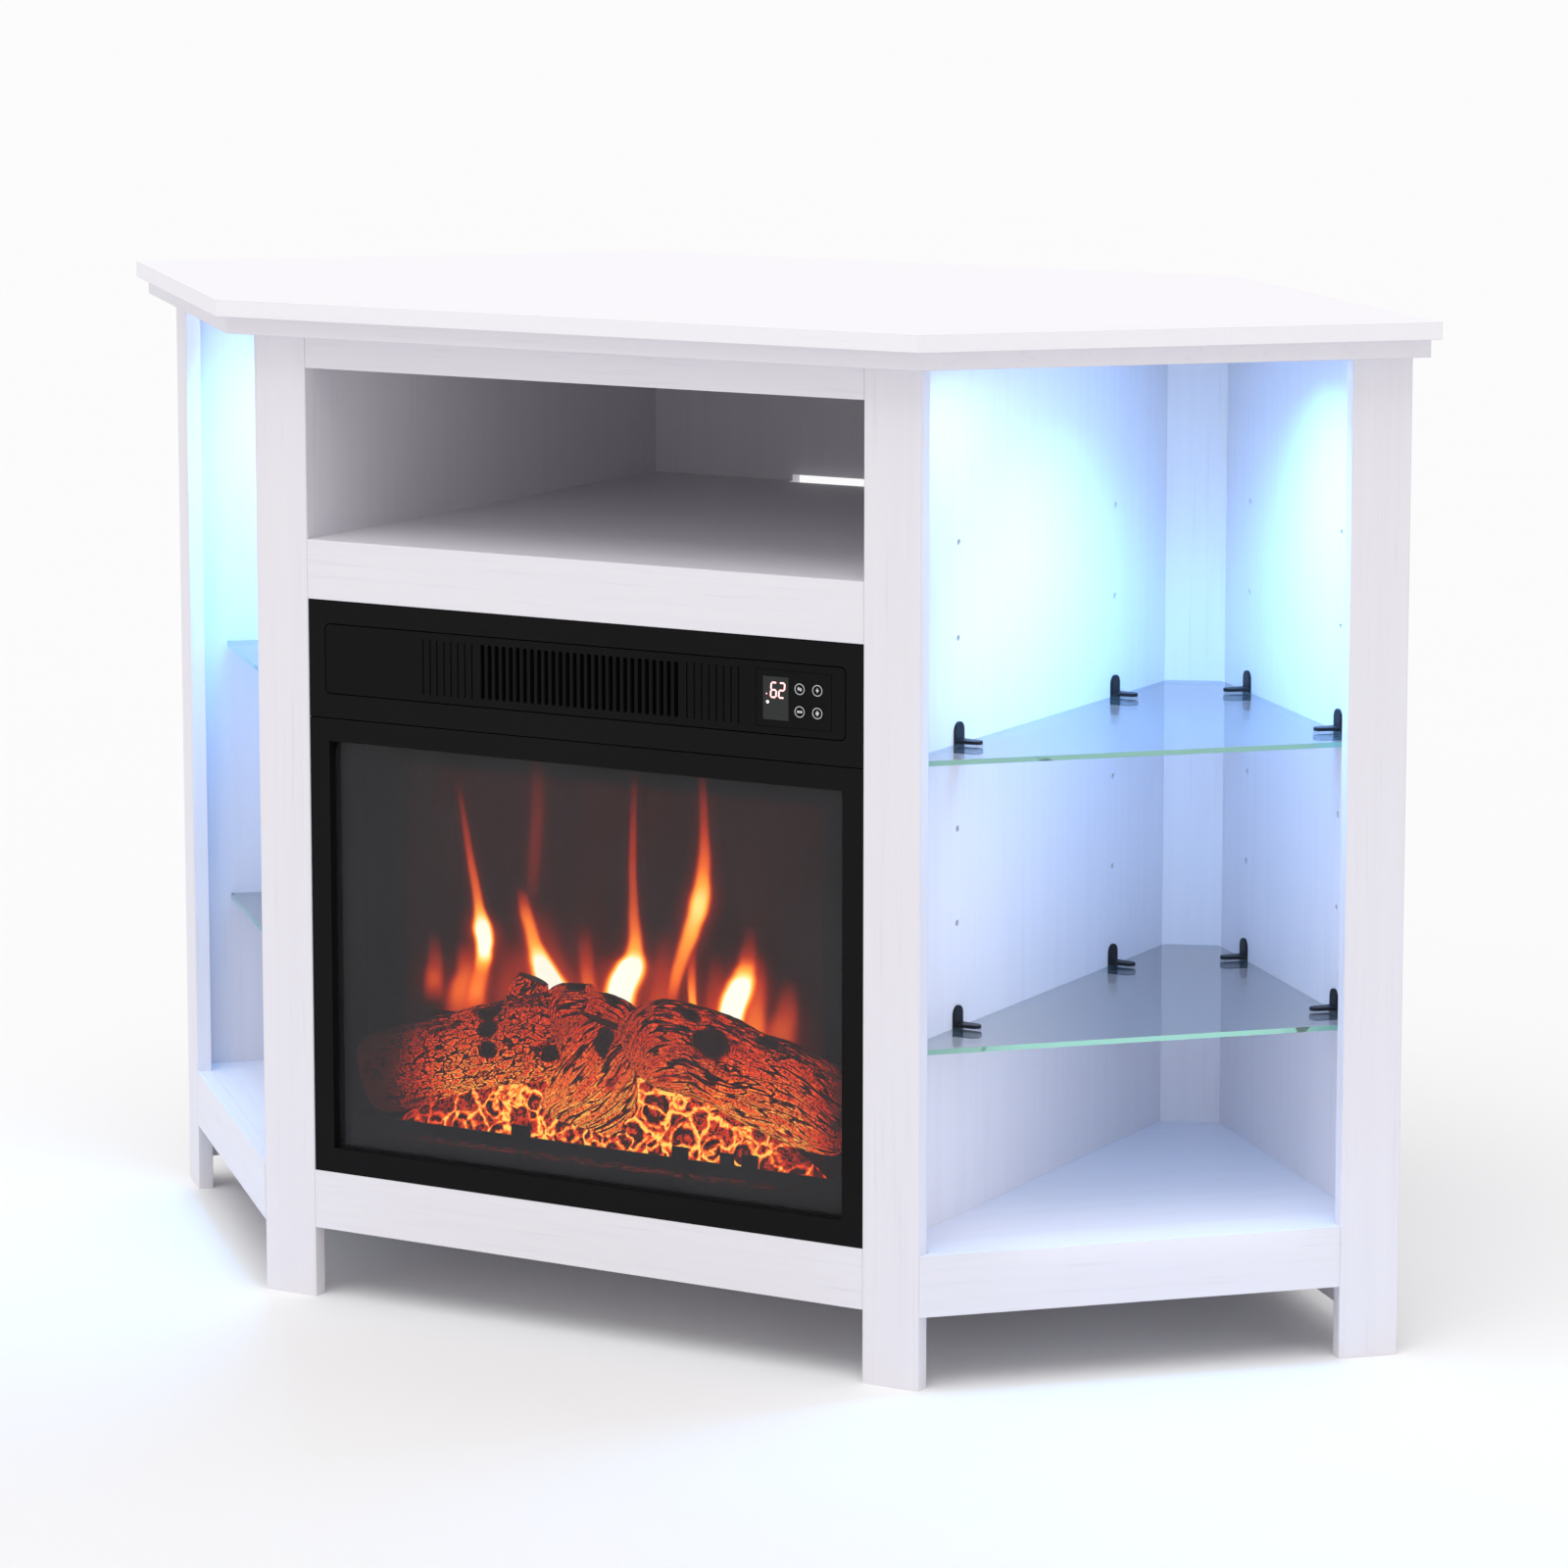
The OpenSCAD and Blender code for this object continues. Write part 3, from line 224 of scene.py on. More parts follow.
def laminate(name, turn=0, along="z", colour=WHITE, shade=WHITE_SHADE):
    """White laminate with a fine pressed grain along one direction."""
    paint = Paint(name, roughness=0.42)
    place = paint.turned(turn)
    fine = {"x": (10, 420, 420), "z": (420, 420, 9)}[along]
    broad = {"x": (2.5, 90, 90), "z": (90, 90, 2.2)}[along]
    grain = paint.noise(1.0, 3, 0.6, paint.stretched(fine, place))
    figure = paint.noise(1.0, 3, 0.5, paint.stretched(broad, place), distortion=0.6)
    pores = paint.span(grain, 0.56, 0.78)
    bands = paint.span(figure, 0.35, 0.75)
    tone = paint.plus(paint.times(pores, PORE_SHADE), paint.times(bands, BAND_SHADE))
    paint.set("Base Color", paint.mix(tone, colour, shade))
    paint.set("Roughness", paint.span(grain, 0.3, 0.8, 0.38, 0.52, smooth=False))
    paint.set("Specular IOR Level", 0.4)
    paint.bump(paint.less(1.0, pores), 0.25, 0.0004, soften=0.0009)
    return paint.material


def metal_or_plastic(name, colour, roughness, metallic=0.0, grit=900, spread=0.12, gloss=0.5):
    """A plain finish with fine grit and slow drifts of tone."""
    paint = Paint(name, colour, roughness, metallic)
    paint.set("Specular IOR Level", gloss)
    fine = paint.noise(grit, 3, 0.6)
    slow = paint.noise(9, 3, 0.5)
    light = tuple(min(1, c * (1 + spread) + 0.004) for c in colour)
    dark = tuple(c * (1 - spread) for c in colour)
    tone = paint.plus(paint.times(fine, 0.6), paint.times(slow, 0.4))
    paint.set("Base Color", paint.mix(tone, dark, light))
    paint.set("Roughness", paint.span(slow, 0.3, 0.7, roughness * 0.92, min(1, roughness * 1.1)))
    paint.bump(fine, 0.3, 0.00006, soften=0.0005)
    return paint.material


def shelf_glass():
    """Clear glass, see-through on its faces; its open front edge pale green, with painted shade in
    patches and a faint painted glow.
    """
    paint = Paint("shelf_glass", (0.75, 0.93, 0.88), 0.03)
    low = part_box("glass_shelf_upper_right")[LOW]
    flat = paint.span(paint.unsigned(paint.facing("Z")), 0.6, 0.9)
    from_wing = paint.less(paint.axis("Y"), paint.unsigned(paint.axis("X")))
    behind = paint.less(from_wing, low[1] - low[0])
    front = paint.times(paint.span(behind, GLASS_EDGE, GLASS_EDGE / 2), paint.less(1.0, flat))
    ripple = paint.noise(260, 2, 0.5)
    # Random darker patches on the green front edge are painted shade.
    painted_edge_shade = paint.span(paint.noise(34, 1, 0.5), 0.66, 0.70)
    green = paint.mix(painted_edge_shade, (0.22, 0.46, 0.36), (0.05, 0.10, 0.08))
    sides = paint.mix(front, (0.10, 0.16, 0.17), green)
    paint.set("Base Color", paint.mix(flat, sides, (0.105, 0.130, 0.135)))
    side_alpha = paint.span(front, 0.0, 1.0, 0.30, 0.94)
    paint.set("Alpha", paint.span(flat, 0.0, 1.0, side_alpha, 0.34))
    paint.set("Roughness", paint.span(ripple, 0.3, 0.7, 0.02, 0.06))
    paint.set("Coat Weight", 0.6)
    paint.set("Coat Roughness", 0.02)
    # The front edge's faint green glow is painted light.
    paint.emit(paint.mix(front, BLACK, (0.20, 0.50, 0.33)), 0.05)
    return paint.material


def window_glass():
    """Smoked glass with a clean gloss."""
    paint = Paint("smoked_glass", (0.034, 0.034, 0.038), 0.04)
    haze = paint.noise(14, 3, 0.5)
    paint.set("Alpha", paint.span(haze, 0.3, 0.7, 0.30, 0.36))
    paint.set("Roughness", paint.span(haze, 0.3, 0.7, 0.03, 0.07))
    return paint.material


def glowing(name, colour, strength):
    """A lit face with a fine mottle in its light."""
    paint = Paint(name, (0.8, 0.8, 0.8), 0.5)
    mottle = paint.noise(400, 2, 0.5)
    paint.emit(paint.mix(paint.times(mottle, 0.25), colour, (1.0, 1.0, 1.0)), strength)
    return paint.material


# ------------------------------------------------------------------ the fire
# From soot through ember red to yellow
EMBER_RAMP = ((0.0, (0.003, 0.0006, 0.0004)), (0.16, (0.060, 0.003, 0.001)),
              (0.36, (0.55, 0.018, 0.002)), (0.60, (0.95, 0.085, 0.010)),
              (0.82, (1.0, 0.33, 0.035)), (1.0, (1.0, 0.66, 0.11)))
# From the dark gap between two ridges over a bright rim to the plain face of a ridge
RIDGE_RAMP = ((0.0, (0.02, 0.02, 0.02)), (0.055, (0.05, 0.05, 0.05)), (0.12, (0.96, 0.96, 0.96)),
              (0.20, (0.60, 0.60, 0.60)), (0.50, (0.48, 0.48, 0.48)))
# One turn of a ring: a thin dark line, a bright rim and a plain face
LINE_RAMP = ((0.0, (0.04, 0.04, 0.04)), (0.26, (0.06, 0.06, 0.06)), (0.38, (1.0, 1.0, 1.0)),
             (0.58, (0.62, 0.62, 0.62)), (0.90, (0.50, 0.50, 0.50)), (1.0, (0.06, 0.06, 0.06)))
EMBER_GLOW = 2.2
BARK_TOP, BARK_FOOT = 0.245, 0.168      # heights between which the bark's painted glow grows brighter toward the foot


def at(x, depth, z):
    """A point in metres from millimetres: across, behind the post faces, above the floor."""
    return Vector((x / 1000, front_y + depth / 1000, z / 1000))


def glowing_bark(name, ridge_scale, plain):
    """Moulded bark lit from within: red ridges with bright rims and dark gaps between them.

    ridge_scale is the number of ridges in a metre along and round the log, and plain is the
    share of smooth red faces.
    """
    paint = Paint(name, (0.02, 0.006, 0.004), 0.55)
    grain = paint.grain_place()
    swirl = paint.noise(1.0, 2, 0.5, paint.stretched((16, 50, 1), grain), distortion=0.9)
    crooked = paint.bent(paint.stretched((*ridge_scale, 1), grain), 0.55, 2.4)
    ridges = paint.cell_edges(1.0, crooked)
    cut = paint.stored("cut")
    on_end = paint.span(cut, 0.02, 0.05)
    off_end = paint.less(1.0, on_end)
    rings = paint.math("FRACT", paint.plus(paint.times(cut, 6.0), paint.times(swirl, 0.8)))
    lines = paint.plus(paint.times(paint.ramp(ridges, RIDGE_RAMP), off_end),
                       paint.times(paint.ramp(rings, LINE_RAMP), on_end))
    patches = paint.noise(1.0, 2, 0.5, paint.stretched((15, 34, 1), grain))
    faces = paint.times(off_end, paint.span(patches, 0.62 - plain, 0.68 - plain))
    lines = paint.plus(paint.times(lines, paint.less(1.0, faces)), paint.times(faces, 0.48))
    # The painted glow is strongest low down, over the embers, and fades toward the fire's two
    # sides.
    heat = paint.span(paint.axis("Z"), BARK_TOP, BARK_FOOT, 0.62, 1.16)
    left_end = paint.span(paint.axis("X"), -0.212, -0.120, 0.10, 1.0)
    right_end = paint.span(paint.axis("X"), 0.222, 0.175, 0.25, 1.0)
    burnt = paint.noise(1.0, 3, 0.55, paint.stretched((16, 42, 1), grain))
    soot = paint.span(burnt, 0.60, 0.68, 1.0, 0.28)
    specks = paint.span(paint.noise(560, 2, 0.6), 0.40, 0.52, 0.35, 1.06)
    # Faces turned upward glow less: painted shade on the tops.
    painted_top_shade = paint.span(paint.facing("Z"), 0.42, 0.80, 1.0, 0.08)
    # The glow dies in the knot hollows: painted shade.
    hollow = paint.span(paint.stored("hollow"), 0.30, 0.62, 1.0, 0.02)
    glow = paint.times(lines, heat, left_end, right_end, soot, specks, painted_top_shade, hollow)
    paint.emit(paint.ramp(glow, EMBER_RAMP), EMBER_GLOW)
    paint.set("Base Color", paint.mix(lines, (0.006, 0.003, 0.003), (0.05, 0.014, 0.008)))
    paint.set("Specular IOR Level", 0.1)
    paint.bump(lines, 0.5, 0.0008)
    return paint.material


def glowing_embers():
    """A bed of embers: red lumps with a fine crackle, bright seams between them."""
    paint = Paint("glowing_embers", (0.03, 0.008, 0.004), 0.6)
    crooked = paint.bent(paint.place, 75, 0.012)
    seams = paint.span(paint.cell_edges(44, crooked), 0.10, 0.0)
    crackle = paint.math("FRACT", paint.times(paint.noise(95, 3, 0.6, crooked), 5.0))
    glow = paint.plus(paint.times(seams, 0.74), paint.times(paint.ramp(crackle, LINE_RAMP), 0.52),
                      paint.times(paint.stored("ring"), 0.60))
    side = paint.unsigned(paint.less(paint.axis("X"), 0.012))
    glow = paint.times(glow, paint.span(side, 0.120, 0.205, 1.0, 0.34))
    paint.emit(paint.ramp(glow, EMBER_RAMP), EMBER_GLOW)
    paint.set("Specular IOR Level", 0.1)
    paint.bump(glow, 0.5, 0.001)
    return paint.material


def finished(name, build, material, body="cabinet", smooth=False, replaced=()):
    """Makes the finished piece from a bmesh: normals out, material on, riding its body."""
    bmesh.ops.recalc_face_normals(build, faces=build.faces)
    mesh = bpy.data.meshes.new(name)
    build.to_mesh(mesh)
    build.free()
    mesh.materials.append(material)
    for polygon in mesh.polygons:
        polygon.use_smooth = smooth
    thing = bpy.data.objects.new(name, mesh)
    bpy.context.collection.objects.link(thing)
    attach(thing, body)
    if replaced:
        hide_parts(*replaced)
    return thing


def smooth_path(points, steps):
    """Points along a soft curve through the given ones."""
    path = []
    for i in range(len(points) - 1):
        before = points[max(i - 1, 0)]
        a, b = points[i], points[i + 1]
        after = points[min(i + 2, len(points) - 1)]
        for step in range(steps):
            t = step / steps
            path.append(tuple(
                0.5 * (2 * q + (r - p) * t + (2 * p - 5 * q + 4 * r - s) * t * t
                       + (3 * q - p - 3 * r + s) * t ** 3)
                for p, q, r, s in zip(before, a, b, after)))
    path.append(tuple(points[-1]))
    return path


def sweep(build, sides, places):
    """Extrudes a ring of vertices through placing matrices; gives the rings in order."""
    bmesh.ops.create_circle(build, segments=sides, radius=1.0, matrix=places[0])
    rings = [list(build.verts)]
    first = edges = list(build.edges)
    for before, after in zip(places, places[1:]):
        grown = bmesh.ops.extrude_edge_only(build, edges=edges)["geom"]
        ring = [part for part in grown if isinstance(part, bmesh.types.BMVert)]
        inside = set(ring)
        edges = [part for part in grown if isinstance(part, bmesh.types.BMEdge)
                 and part.verts[0] in inside and part.verts[1] in inside]
        bmesh.ops.transform(build, matrix=after @ before.inverted(), verts=ring)
        rings.append(ring)
    for loop in (first, edges):
        bmesh.ops.edgeloop_fill(build, edges=loop)
    return rings


LOG_SIDES = 128
CUT_RINGS = 9               # rings of a log's cut end, from its rim to its middle


def bark_relief(seed, along, around):
    """Height of the bark in millimetres: long ridges, broken up by cross cracks."""
    ridge = noise.noise(Vector((along / 40 + seed, around / 4.2, seed)))
    swell = noise.noise(Vector((along / 26, around / 20, seed + 4)))
    chip = noise.noise(Vector((along / 5.5, around / 4.0, seed + 9)))
    return 1.3 * abs(ridge) ** 0.8 + 2.2 * swell + 0.5 * chip


def bark_log(stations, flat, depth, seed, knots):
    """A log swept through stations of (x, z, radius), with ridged bark, cut ends and hollows.

    A knot is (share along, degrees up from the back, reach, dip), lengths in millimetres.
    """
    path = smooth_path(stations, 16)
    turns, runs, run = [], [], 0.0
    for i, here in enumerate(path):
        ahead, behind = path[min(i + 1, len(path) - 1)], path[max(i - 1, 0)]
        turns.append(math.atan2(ahead[1] - behind[1], ahead[0] - behind[0]))
        run += math.dist(here[:2], behind[:2])
        runs.append(run)
    inward = [(k + 1) / (CUT_RINGS + 1) for k in range(CUT_RINGS)]
    steps = [(0, cut) for cut in reversed(inward)]
    steps += [(i, 0.0) for i in range(len(path))]
    steps += [(len(path) - 1, cut) for cut in inward]

    def place(i, cut):
        x, z, radius = path[i]
        size = radius / 1000 * (1 - cut)
        way = Vector((math.cos(turns[i]), 0, math.sin(turns[i])))
        bulge = 1.6 * cut * (1 if i else -1)
        matrix = Matrix.Identity(4)
        matrix.col[0][:3] = Vector((0, size * flat, 0))
        matrix.col[1][:3] = Vector((-way.z * size, 0, way.x * size))
        matrix.col[2][:3] = way
        matrix.col[3][:3] = at(x, depth, z) + way * bulge / 1000
        return matrix

    build = bmesh.new()
    hollow_layer = build.verts.layers.float.new("hollow")
    cut_layer = build.verts.layers.float.new("cut")
    grain = build.loops.layers.uv.new("grain")
    places = [place(i, cut) for i, cut in steps]
    where = {}
    for ring, matrix, (i, cut) in zip(sweep(build, LOG_SIDES, places), places, steps):
        radius = path[i][2]
        from_end = min(runs[i], runs[-1] - runs[i])
        rounding = 1 - 0.10 * math.exp(-(from_end / 4) ** 2)
        back = matrix.inverted()
        for vert in ring:
            spot = back @ vert.co
            angle = math.atan2(spot.y, spot.x) % (2 * math.pi)
            lift = bark_relief(seed, runs[i], radius * math.cos(angle) * 2)
            slip = 0.0
            for share, degrees, reach, dip in knots:
                off_s = runs[i] - share * runs[-1]
                apart = (angle - math.radians(degrees) + math.pi) % (2 * math.pi) - math.pi
                off_r = radius * apart
                ragged = 1 + 0.9 * noise.noise(Vector((off_s / 7, off_r / 7, seed)))
                near = math.exp(-(off_s ** 2 + off_r ** 2) / reach ** 2 * ragged)
                lift -= dip * near
                slip += math.copysign(reach * 0.55, off_r) * near
                vert[hollow_layer] = max(vert[hollow_layer], near * (cut == 0))
            grow = max(0.2, rounding + lift / radius)
            vert.co = matrix @ Vector((spot.x * grow, spot.y * grow, spot.z))
            vert[cut_layer] = cut
            where[vert] = (runs[i] / 1000, (radius * angle - slip) / 1000)
    for face in build.faces:
        for loop in face.loops:
            loop[grain].uv = where[loop.vert]
    return build


def build_logs():
    wormy = glowing_bark("bark_wormy", (85, 210), -0.05)
    fibrous = glowing_bark("bark_fibrous", (26, 215), 0.0)
    logs = {
        "log_left": (wormy,
                     ((-224, 175, 28), (-200, 183, 32), (-165, 195, 32), (-133, 206, 31),
                      (-100, 215, 33), (-70, 223, 34), (-42, 231, 33)), 0.42, 40, 1.0,
                     ((0.70, 118, 13, 3.0), (0.69, 150, 10, 5.0), (0.67, 182, 9, 4.0),
                      (0.96, 205, 9, 3.0))),
        "log_right": (fibrous,
                      ((18, 225, 15), (28, 229, 26), (50, 232, 34), (85, 230, 36),
                       (120, 220, 36), (168, 206, 38), (216, 194, 33)), 0.38, 37, 5.0,
                      ((0.40, 152, 17, 7.0), (0.30, 118, 8, 3.0), (0.62, 112, 10, 3.0))),
        "log_back": (fibrous,
                     ((-60, 249, 11), (-44, 253, 14), (-30, 257, 14), (-19, 260, 13)),
                     0.6, 50, 9.0, ((0.8, 110, 9, 2.0),)),
        "log_behind": (fibrous,
                       ((-22, 252, 11), (-8, 253, 12), (8, 250, 11), (22, 246, 8)),
                       0.6, 49, 12.0, ((0.5, 120, 7, 2.0),)),
        "log_stub": (wormy,
                     ((-82, 236, 21), (-77, 252, 17), (-73, 263, 15), (-71, 270, 14)),
                     0.5, 46, 21.0, ()),
        "log_stump": (fibrous,
                      ((-14, 162, 50), (-11, 182, 42), (-7, 206, 36), (-2, 228, 32),
                       (2, 244, 27)), 0.34, 38, 15.0,
                      ((0.80, 190, 8, 3.0), (0.90, 192, 9, 3.0))),
    }
    for name, (bark, stations, flat, depth, seed, knots) in logs.items():
        log = bark_log(stations, flat, depth, seed, knots)
        finished(name, log, bark, smooth=True, replaced=("log_set",))


# Upper outline of the ember heap as (x, z)
HEAP_TOP = ((-206, 136), (-190, 148), (-174, 160), (-150, 172), (-131, 182), (-100, 192),
            (-70, 198), (-40, 204), (-5, 204), (30, 202), (55, 196), (90, 188), (130, 180),
            (160, 168), (185, 150), (204, 136))
HEAP_FOOT = 123.4           # height of the log tray that the heap lies on
FRET_BACK = 20.4            # depth of the fret's back, which the heap stays behind
# Round log ends in the heap as (x, z, radius)
LOG_ENDS = ((-176, 141, 9), (-152, 146, 9), (-126, 148, 11), (-98, 168, 9), (-92, 146, 9),
            (-60, 172, 10), (-31, 155, 11), (-2, 156, 11), (14, 146, 8), (29, 160, 12),
            (48, 182, 13), (52, 152, 8), (76, 160, 12), (102, 157, 9), (128, 156, 9),
            (152, 150, 9), (176, 143, 8))


def outline_height(outline, x):
    for (x0, z0), (x1, z1) in zip(outline, outline[1:]):
        if x <= x1:
            return z0 + (z1 - z0) * max(0.0, (x - x0) / (x1 - x0))
    return outline[-1][1]


def build_embers():
    """The heap between the logs, with the cut ends of branches pushed into it."""
    left, wide = HEAP_TOP[0][0], HEAP_TOP[-1][0] - HEAP_TOP[0][0]
    build = bmesh.new()
    bmesh.ops.create_grid(build, x_segments=300, y_segments=48, size=0.5)
    ring_layer = build.verts.layers.float.new("ring")
    for vert in build.verts:
        x, share = left + wide * (vert.co.x + 0.5), vert.co.y + 0.5
        top = outline_height(HEAP_TOP, x) + 2.2 * noise.noise(Vector((x / 7, 3, 5)))
        z = HEAP_FOOT + (top - HEAP_FOOT) * share
        coarse, fine = Vector((x / 11, z / 11, 2)), Vector((x / 4, z / 4, 7))
        lump = noise.noise(coarse) + 0.5 * noise.noise(fine)
        depth = 24.5 + 19 * share ** 1.6 - 2.6 * lump
        ring = 0.0
        for end_x, end_z, radius in LOG_ENDS:
            wobble = 1 + 0.22 * noise.noise(Vector((x / 6, z / 6, end_x)))
            off = wobble * math.hypot(x - end_x, z - end_z) / radius
            if off < 1.3:
                fade = 1 - max(0.0, (off - 0.85) / 0.45)
                depth -= 3.2 * fade * (0.75 + 0.25 * math.cos(off * 7))
                bright = math.exp(-((off - 1.0) / 0.12) ** 2)
                ring = max(ring, bright) - 0.5 * (0.5 < off < 0.85)
        vert.co = at(x, max(depth, FRET_BACK), z)
        vert[ring_layer] = ring
    heap = finished("ember_heap", build, glowing_embers(), smooth=True, replaced=("ember_bed",))
    body = heap.modifiers.new("body", "SOLIDIFY")
    body.thickness = 0.006
    body.offset = -1


# From the dark red of a flame's edge to the near white of its core
FLAME_RAMP = ((0.0, (0.40, 0.010, 0.002)), (0.24, (0.72, 0.040, 0.006)),
              (0.44, (1.0, 0.15, 0.012)), (0.64, (1.0, 0.42, 0.04)),
              (0.80, (1.0, 0.78, 0.22)), (0.94, (1.0, 0.96, 0.80)))
FLAME_GLOW = 2.2


def flame_glow():
    """A tongue of flame: a hot core with a soft red halo round it."""
    paint = Paint("flame_glow", (0.0, 0.0, 0.0), 0.9)
    place = paint.grain_place()
    across = paint.times(paint.less(paint.axis("X", place), 0.5), 2.0)
    lick = paint.noise(1.0, 1, 0.5, paint.stretched((1.2, 0.7, 1), place))
    across = paint.plus(across, paint.times(paint.less(lick, 0.5), 0.20))
    square = paint.times(across, across)
    core = paint.math("EXPONENT", paint.times(square, square, -170.0))
    halo = paint.math("EXPONENT", paint.times(square, -4.5))
    profile = paint.plus(paint.times(core, 0.80), paint.times(halo, 0.24))
    edge = paint.span(paint.unsigned(across), 0.98, 0.55)
    heat = paint.times(profile, paint.stored("hot"), edge)
    paint.emit(paint.ramp(heat, FLAME_RAMP), FLAME_GLOW)
    paint.set("Alpha", paint.span(heat, 0.0, 0.52, smooth=False))
    paint.set("Specular IOR Level", 0.0)
    return paint.material


# Each flame as a path of (x, z, half width, heat), the faint ones behind
FLAMES = {
    "flame_1": ((-62, 240, 22, 0.3), (-66, 262, 24, 0.26), (-72, 290, 18, 0.16),
                (-78, 330, 10, 0.0)),
    "flame_2": ((-96, 236, 20, 0.3), (-98, 250, 18, 0.22), (-100, 270, 12, 0.14),
                (-102, 296, 8, 0.0)),
    "flame_3": ((-84, 320, 5, 0.0), (-80, 350, 6, 0.09), (-76, 400, 6, 0.09),
                (-76, 446, 6, 0.0)),
    "flame_4": ((34, 238, 16, 0.4), (36, 256, 14, 0.30), (38, 280, 9, 0.22), (40, 320, 6, 0.0)),
    "flame_5": ((84, 236, 12, 0.4), (86, 252, 10, 0.28), (86, 276, 8, 0.16), (86, 306, 5, 0.0)),
    "flame_6": ((-176, 236, 9, 0.0), (-174, 254, 9, 0.30), (-173, 272, 7, 0.18),
                (-174, 296, 4, 0.0)),
    "flame_7": ((-150, 232, 15, 0.28), (-146, 248, 15, 0.42), (-143, 266, 10, 0.34),
                (-145, 292, 6, 0.0)),
    "flame_8": ((138, 226, 15, 0.20), (144, 246, 14, 0.32), (149, 264, 10, 0.24),
                (152, 292, 6, 0.0)),
    "flame_9": ((118, 234, 12, 0.46), (121, 256, 11, 0.44), (123, 280, 8, 0.28),
                (124, 310, 6, 0.0)),
    "flame_10": ((-26, 240, 12, 0.8), (-28, 262, 8, 0.46), (-31, 284, 7, 0.24),
                 (-33, 316, 6, 0.0)),
    "flame_11": ((66, 242, 5, 0.8), (66, 262, 4, 0.6), (65, 284, 4, 0.36), (66, 316, 3, 0.0)),
    "flame_12": ((-136, 226, 11, 0.0), (-134, 246, 10, 0.44), (-129, 268, 8, 0.48),
                 (-126, 284, 8, 0.95), (-127, 302, 8.5, 1.02), (-131, 322, 5, 0.50),
                 (-137, 352, 4, 0.32), (-143, 384, 3, 0.18), (-149, 420, 2.5, 0.0)),
    "flame_13": ((-56, 240, 14, 0.6), (-60, 260, 15, 1.15), (-70, 276, 12, 1.1),
                 (-79, 296, 8, 0.58), (-86, 318, 6, 0.42), (-91, 340, 4, 0.0)),
    "flame_14": ((-6, 240, 14, 0.8), (0, 262, 14, 1.15), (9, 284, 13, 1.2), (14, 300, 8, 0.62),
                 (13, 330, 4.5, 0.36), (12, 366, 3.5, 0.26), (13, 404, 3, 0.14),
                 (15, 440, 3, 0.0)),
    "flame_15": ((44, 252, 5, 0.1), (50, 276, 6, 0.42), (57, 298, 7, 0.50), (66, 322, 8.5, 0.66),
                 (73, 344, 8.5, 0.76), (76, 368, 6.5, 0.46), (77, 396, 4.5, 0.28),
                 (76, 426, 3.5, 0.12), (75, 448, 3, 0.0)),
    "flame_16": ((94, 238, 12, 0.9), (101, 258, 12, 1.2), (108, 278, 12, 1.1),
                 (113, 292, 10, 0.66), (116, 306, 7, 0.22), (119, 330, 4, 0.0)),
}
FLAME_REACH = 3.6           # half a sheet's width in half widths of its flame
FLAME_FRONT = 61.7          # depth of the rearmost sheet, just in front of the screen
FLAME_APART = 0.12          # each sheet stands this far in front of the last


def build_flames():
    """Sheets just in front of the screen, where the rotor's light draws the flames."""
    glow = flame_glow()
    across, steps = 40, 20
    for i, (name, stations) in enumerate(FLAMES.items()):
        path = smooth_path(stations, steps)
        build = bmesh.new()
        bmesh.ops.create_grid(build, x_segments=across, y_segments=len(path) - 1, size=0.5)
        hot_layer = build.verts.layers.float.new("hot")
        grain = build.loops.layers.uv.new("grain")
        where = {}
        for vert in build.verts:
            share, j = vert.co.x + 0.5, round((vert.co.y + 0.5) * (len(path) - 1))
            x, z, half, hot = path[j]
            bow = 0.4 * math.sin(math.pi * share)
            aside = (2 * share - 1) * half * FLAME_REACH
            vert.co = at(x + aside, FLAME_FRONT - FLAME_APART * i - bow, z)
            vert[hot_layer] = max(0.0, hot)
            where[vert] = (share, j / steps)
        for face in build.faces:
            for loop in face.loops:
                loop[grain].uv = where[loop.vert]
        finished(name, build, glow, smooth=True)


def lit_fret():
    """The black fret, with the red line that the embers throw on its front, low down."""
    paint = Paint("fret_black", (0.006, 0.006, 0.0065), 0.5)
    spots = paint.span(paint.noise(1.0, 3, 0.6, paint.stretched((160, 1, 900))), 0.48, 0.66)
    height = paint.axis("Z")
    line = paint.times(paint.span(height, 0.1335, 0.1355), paint.span(height, 0.1400, 0.1380))
    across = paint.span(paint.unsigned(paint.axis("X")), 0.210, 0.110)
    glow = paint.times(line, spots, across)
    paint.emit(paint.mix(glow, BLACK, (0.55, 0.045, 0.02)), 0.6)
    paint.set("Specular IOR Level", 0.1)
    return paint.material


def lit_screen():
    """The dark flame screen with the red haze that the flames cast on it."""
    paint = Paint("flame_screen_haze", (0.006, 0.004, 0.004), 0.7)
    drifts = paint.noise(1.0, 3, 0.55, paint.stretched((26, 1, 5)))
    streaks = paint.span(drifts, 0.30, 0.72, 0.45, 1.0)
    across, height = paint.unsigned(paint.plus(paint.axis("X"), 0.01)), paint.axis("Z")
    framed = paint.times(paint.span(across, 0.196, 0.188), paint.span(height, 0.432, 0.424))
    wide = paint.span(across, 0.215, 0.08)
    low = paint.times(paint.span(across, 0.185, 0.09), paint.span(height, 0.345, 0.245))
    even = paint.times(framed, streaks, paint.plus(0.10, paint.times(wide, 0.14)))
    haze = paint.plus(even, paint.times(low, low, 0.85))
    paint.emit(paint.mix(haze, BLACK, (0.80, 0.045, 0.012)), 0.26)
    paint.set("Specular IOR Level", 0.1)
    return paint.material


# ------------------------------------------------------------------ control strip
# The seven bars of a digit, each between two corners of a grid one wide and two high
DIGIT_STROKES = {"a": ((0, 2), (1, 2)), "b": ((1, 1), (1, 2)), "c": ((1, 0), (1, 1)),
                 "d": ((0, 0), (1, 0)), "e": ((0, 0), (0, 1)), "f": ((0, 1), (0, 2)),
                 "g": ((0, 1), (1, 1))}
DIGITS = {"6": "acdefg", "2": "abdeg"}
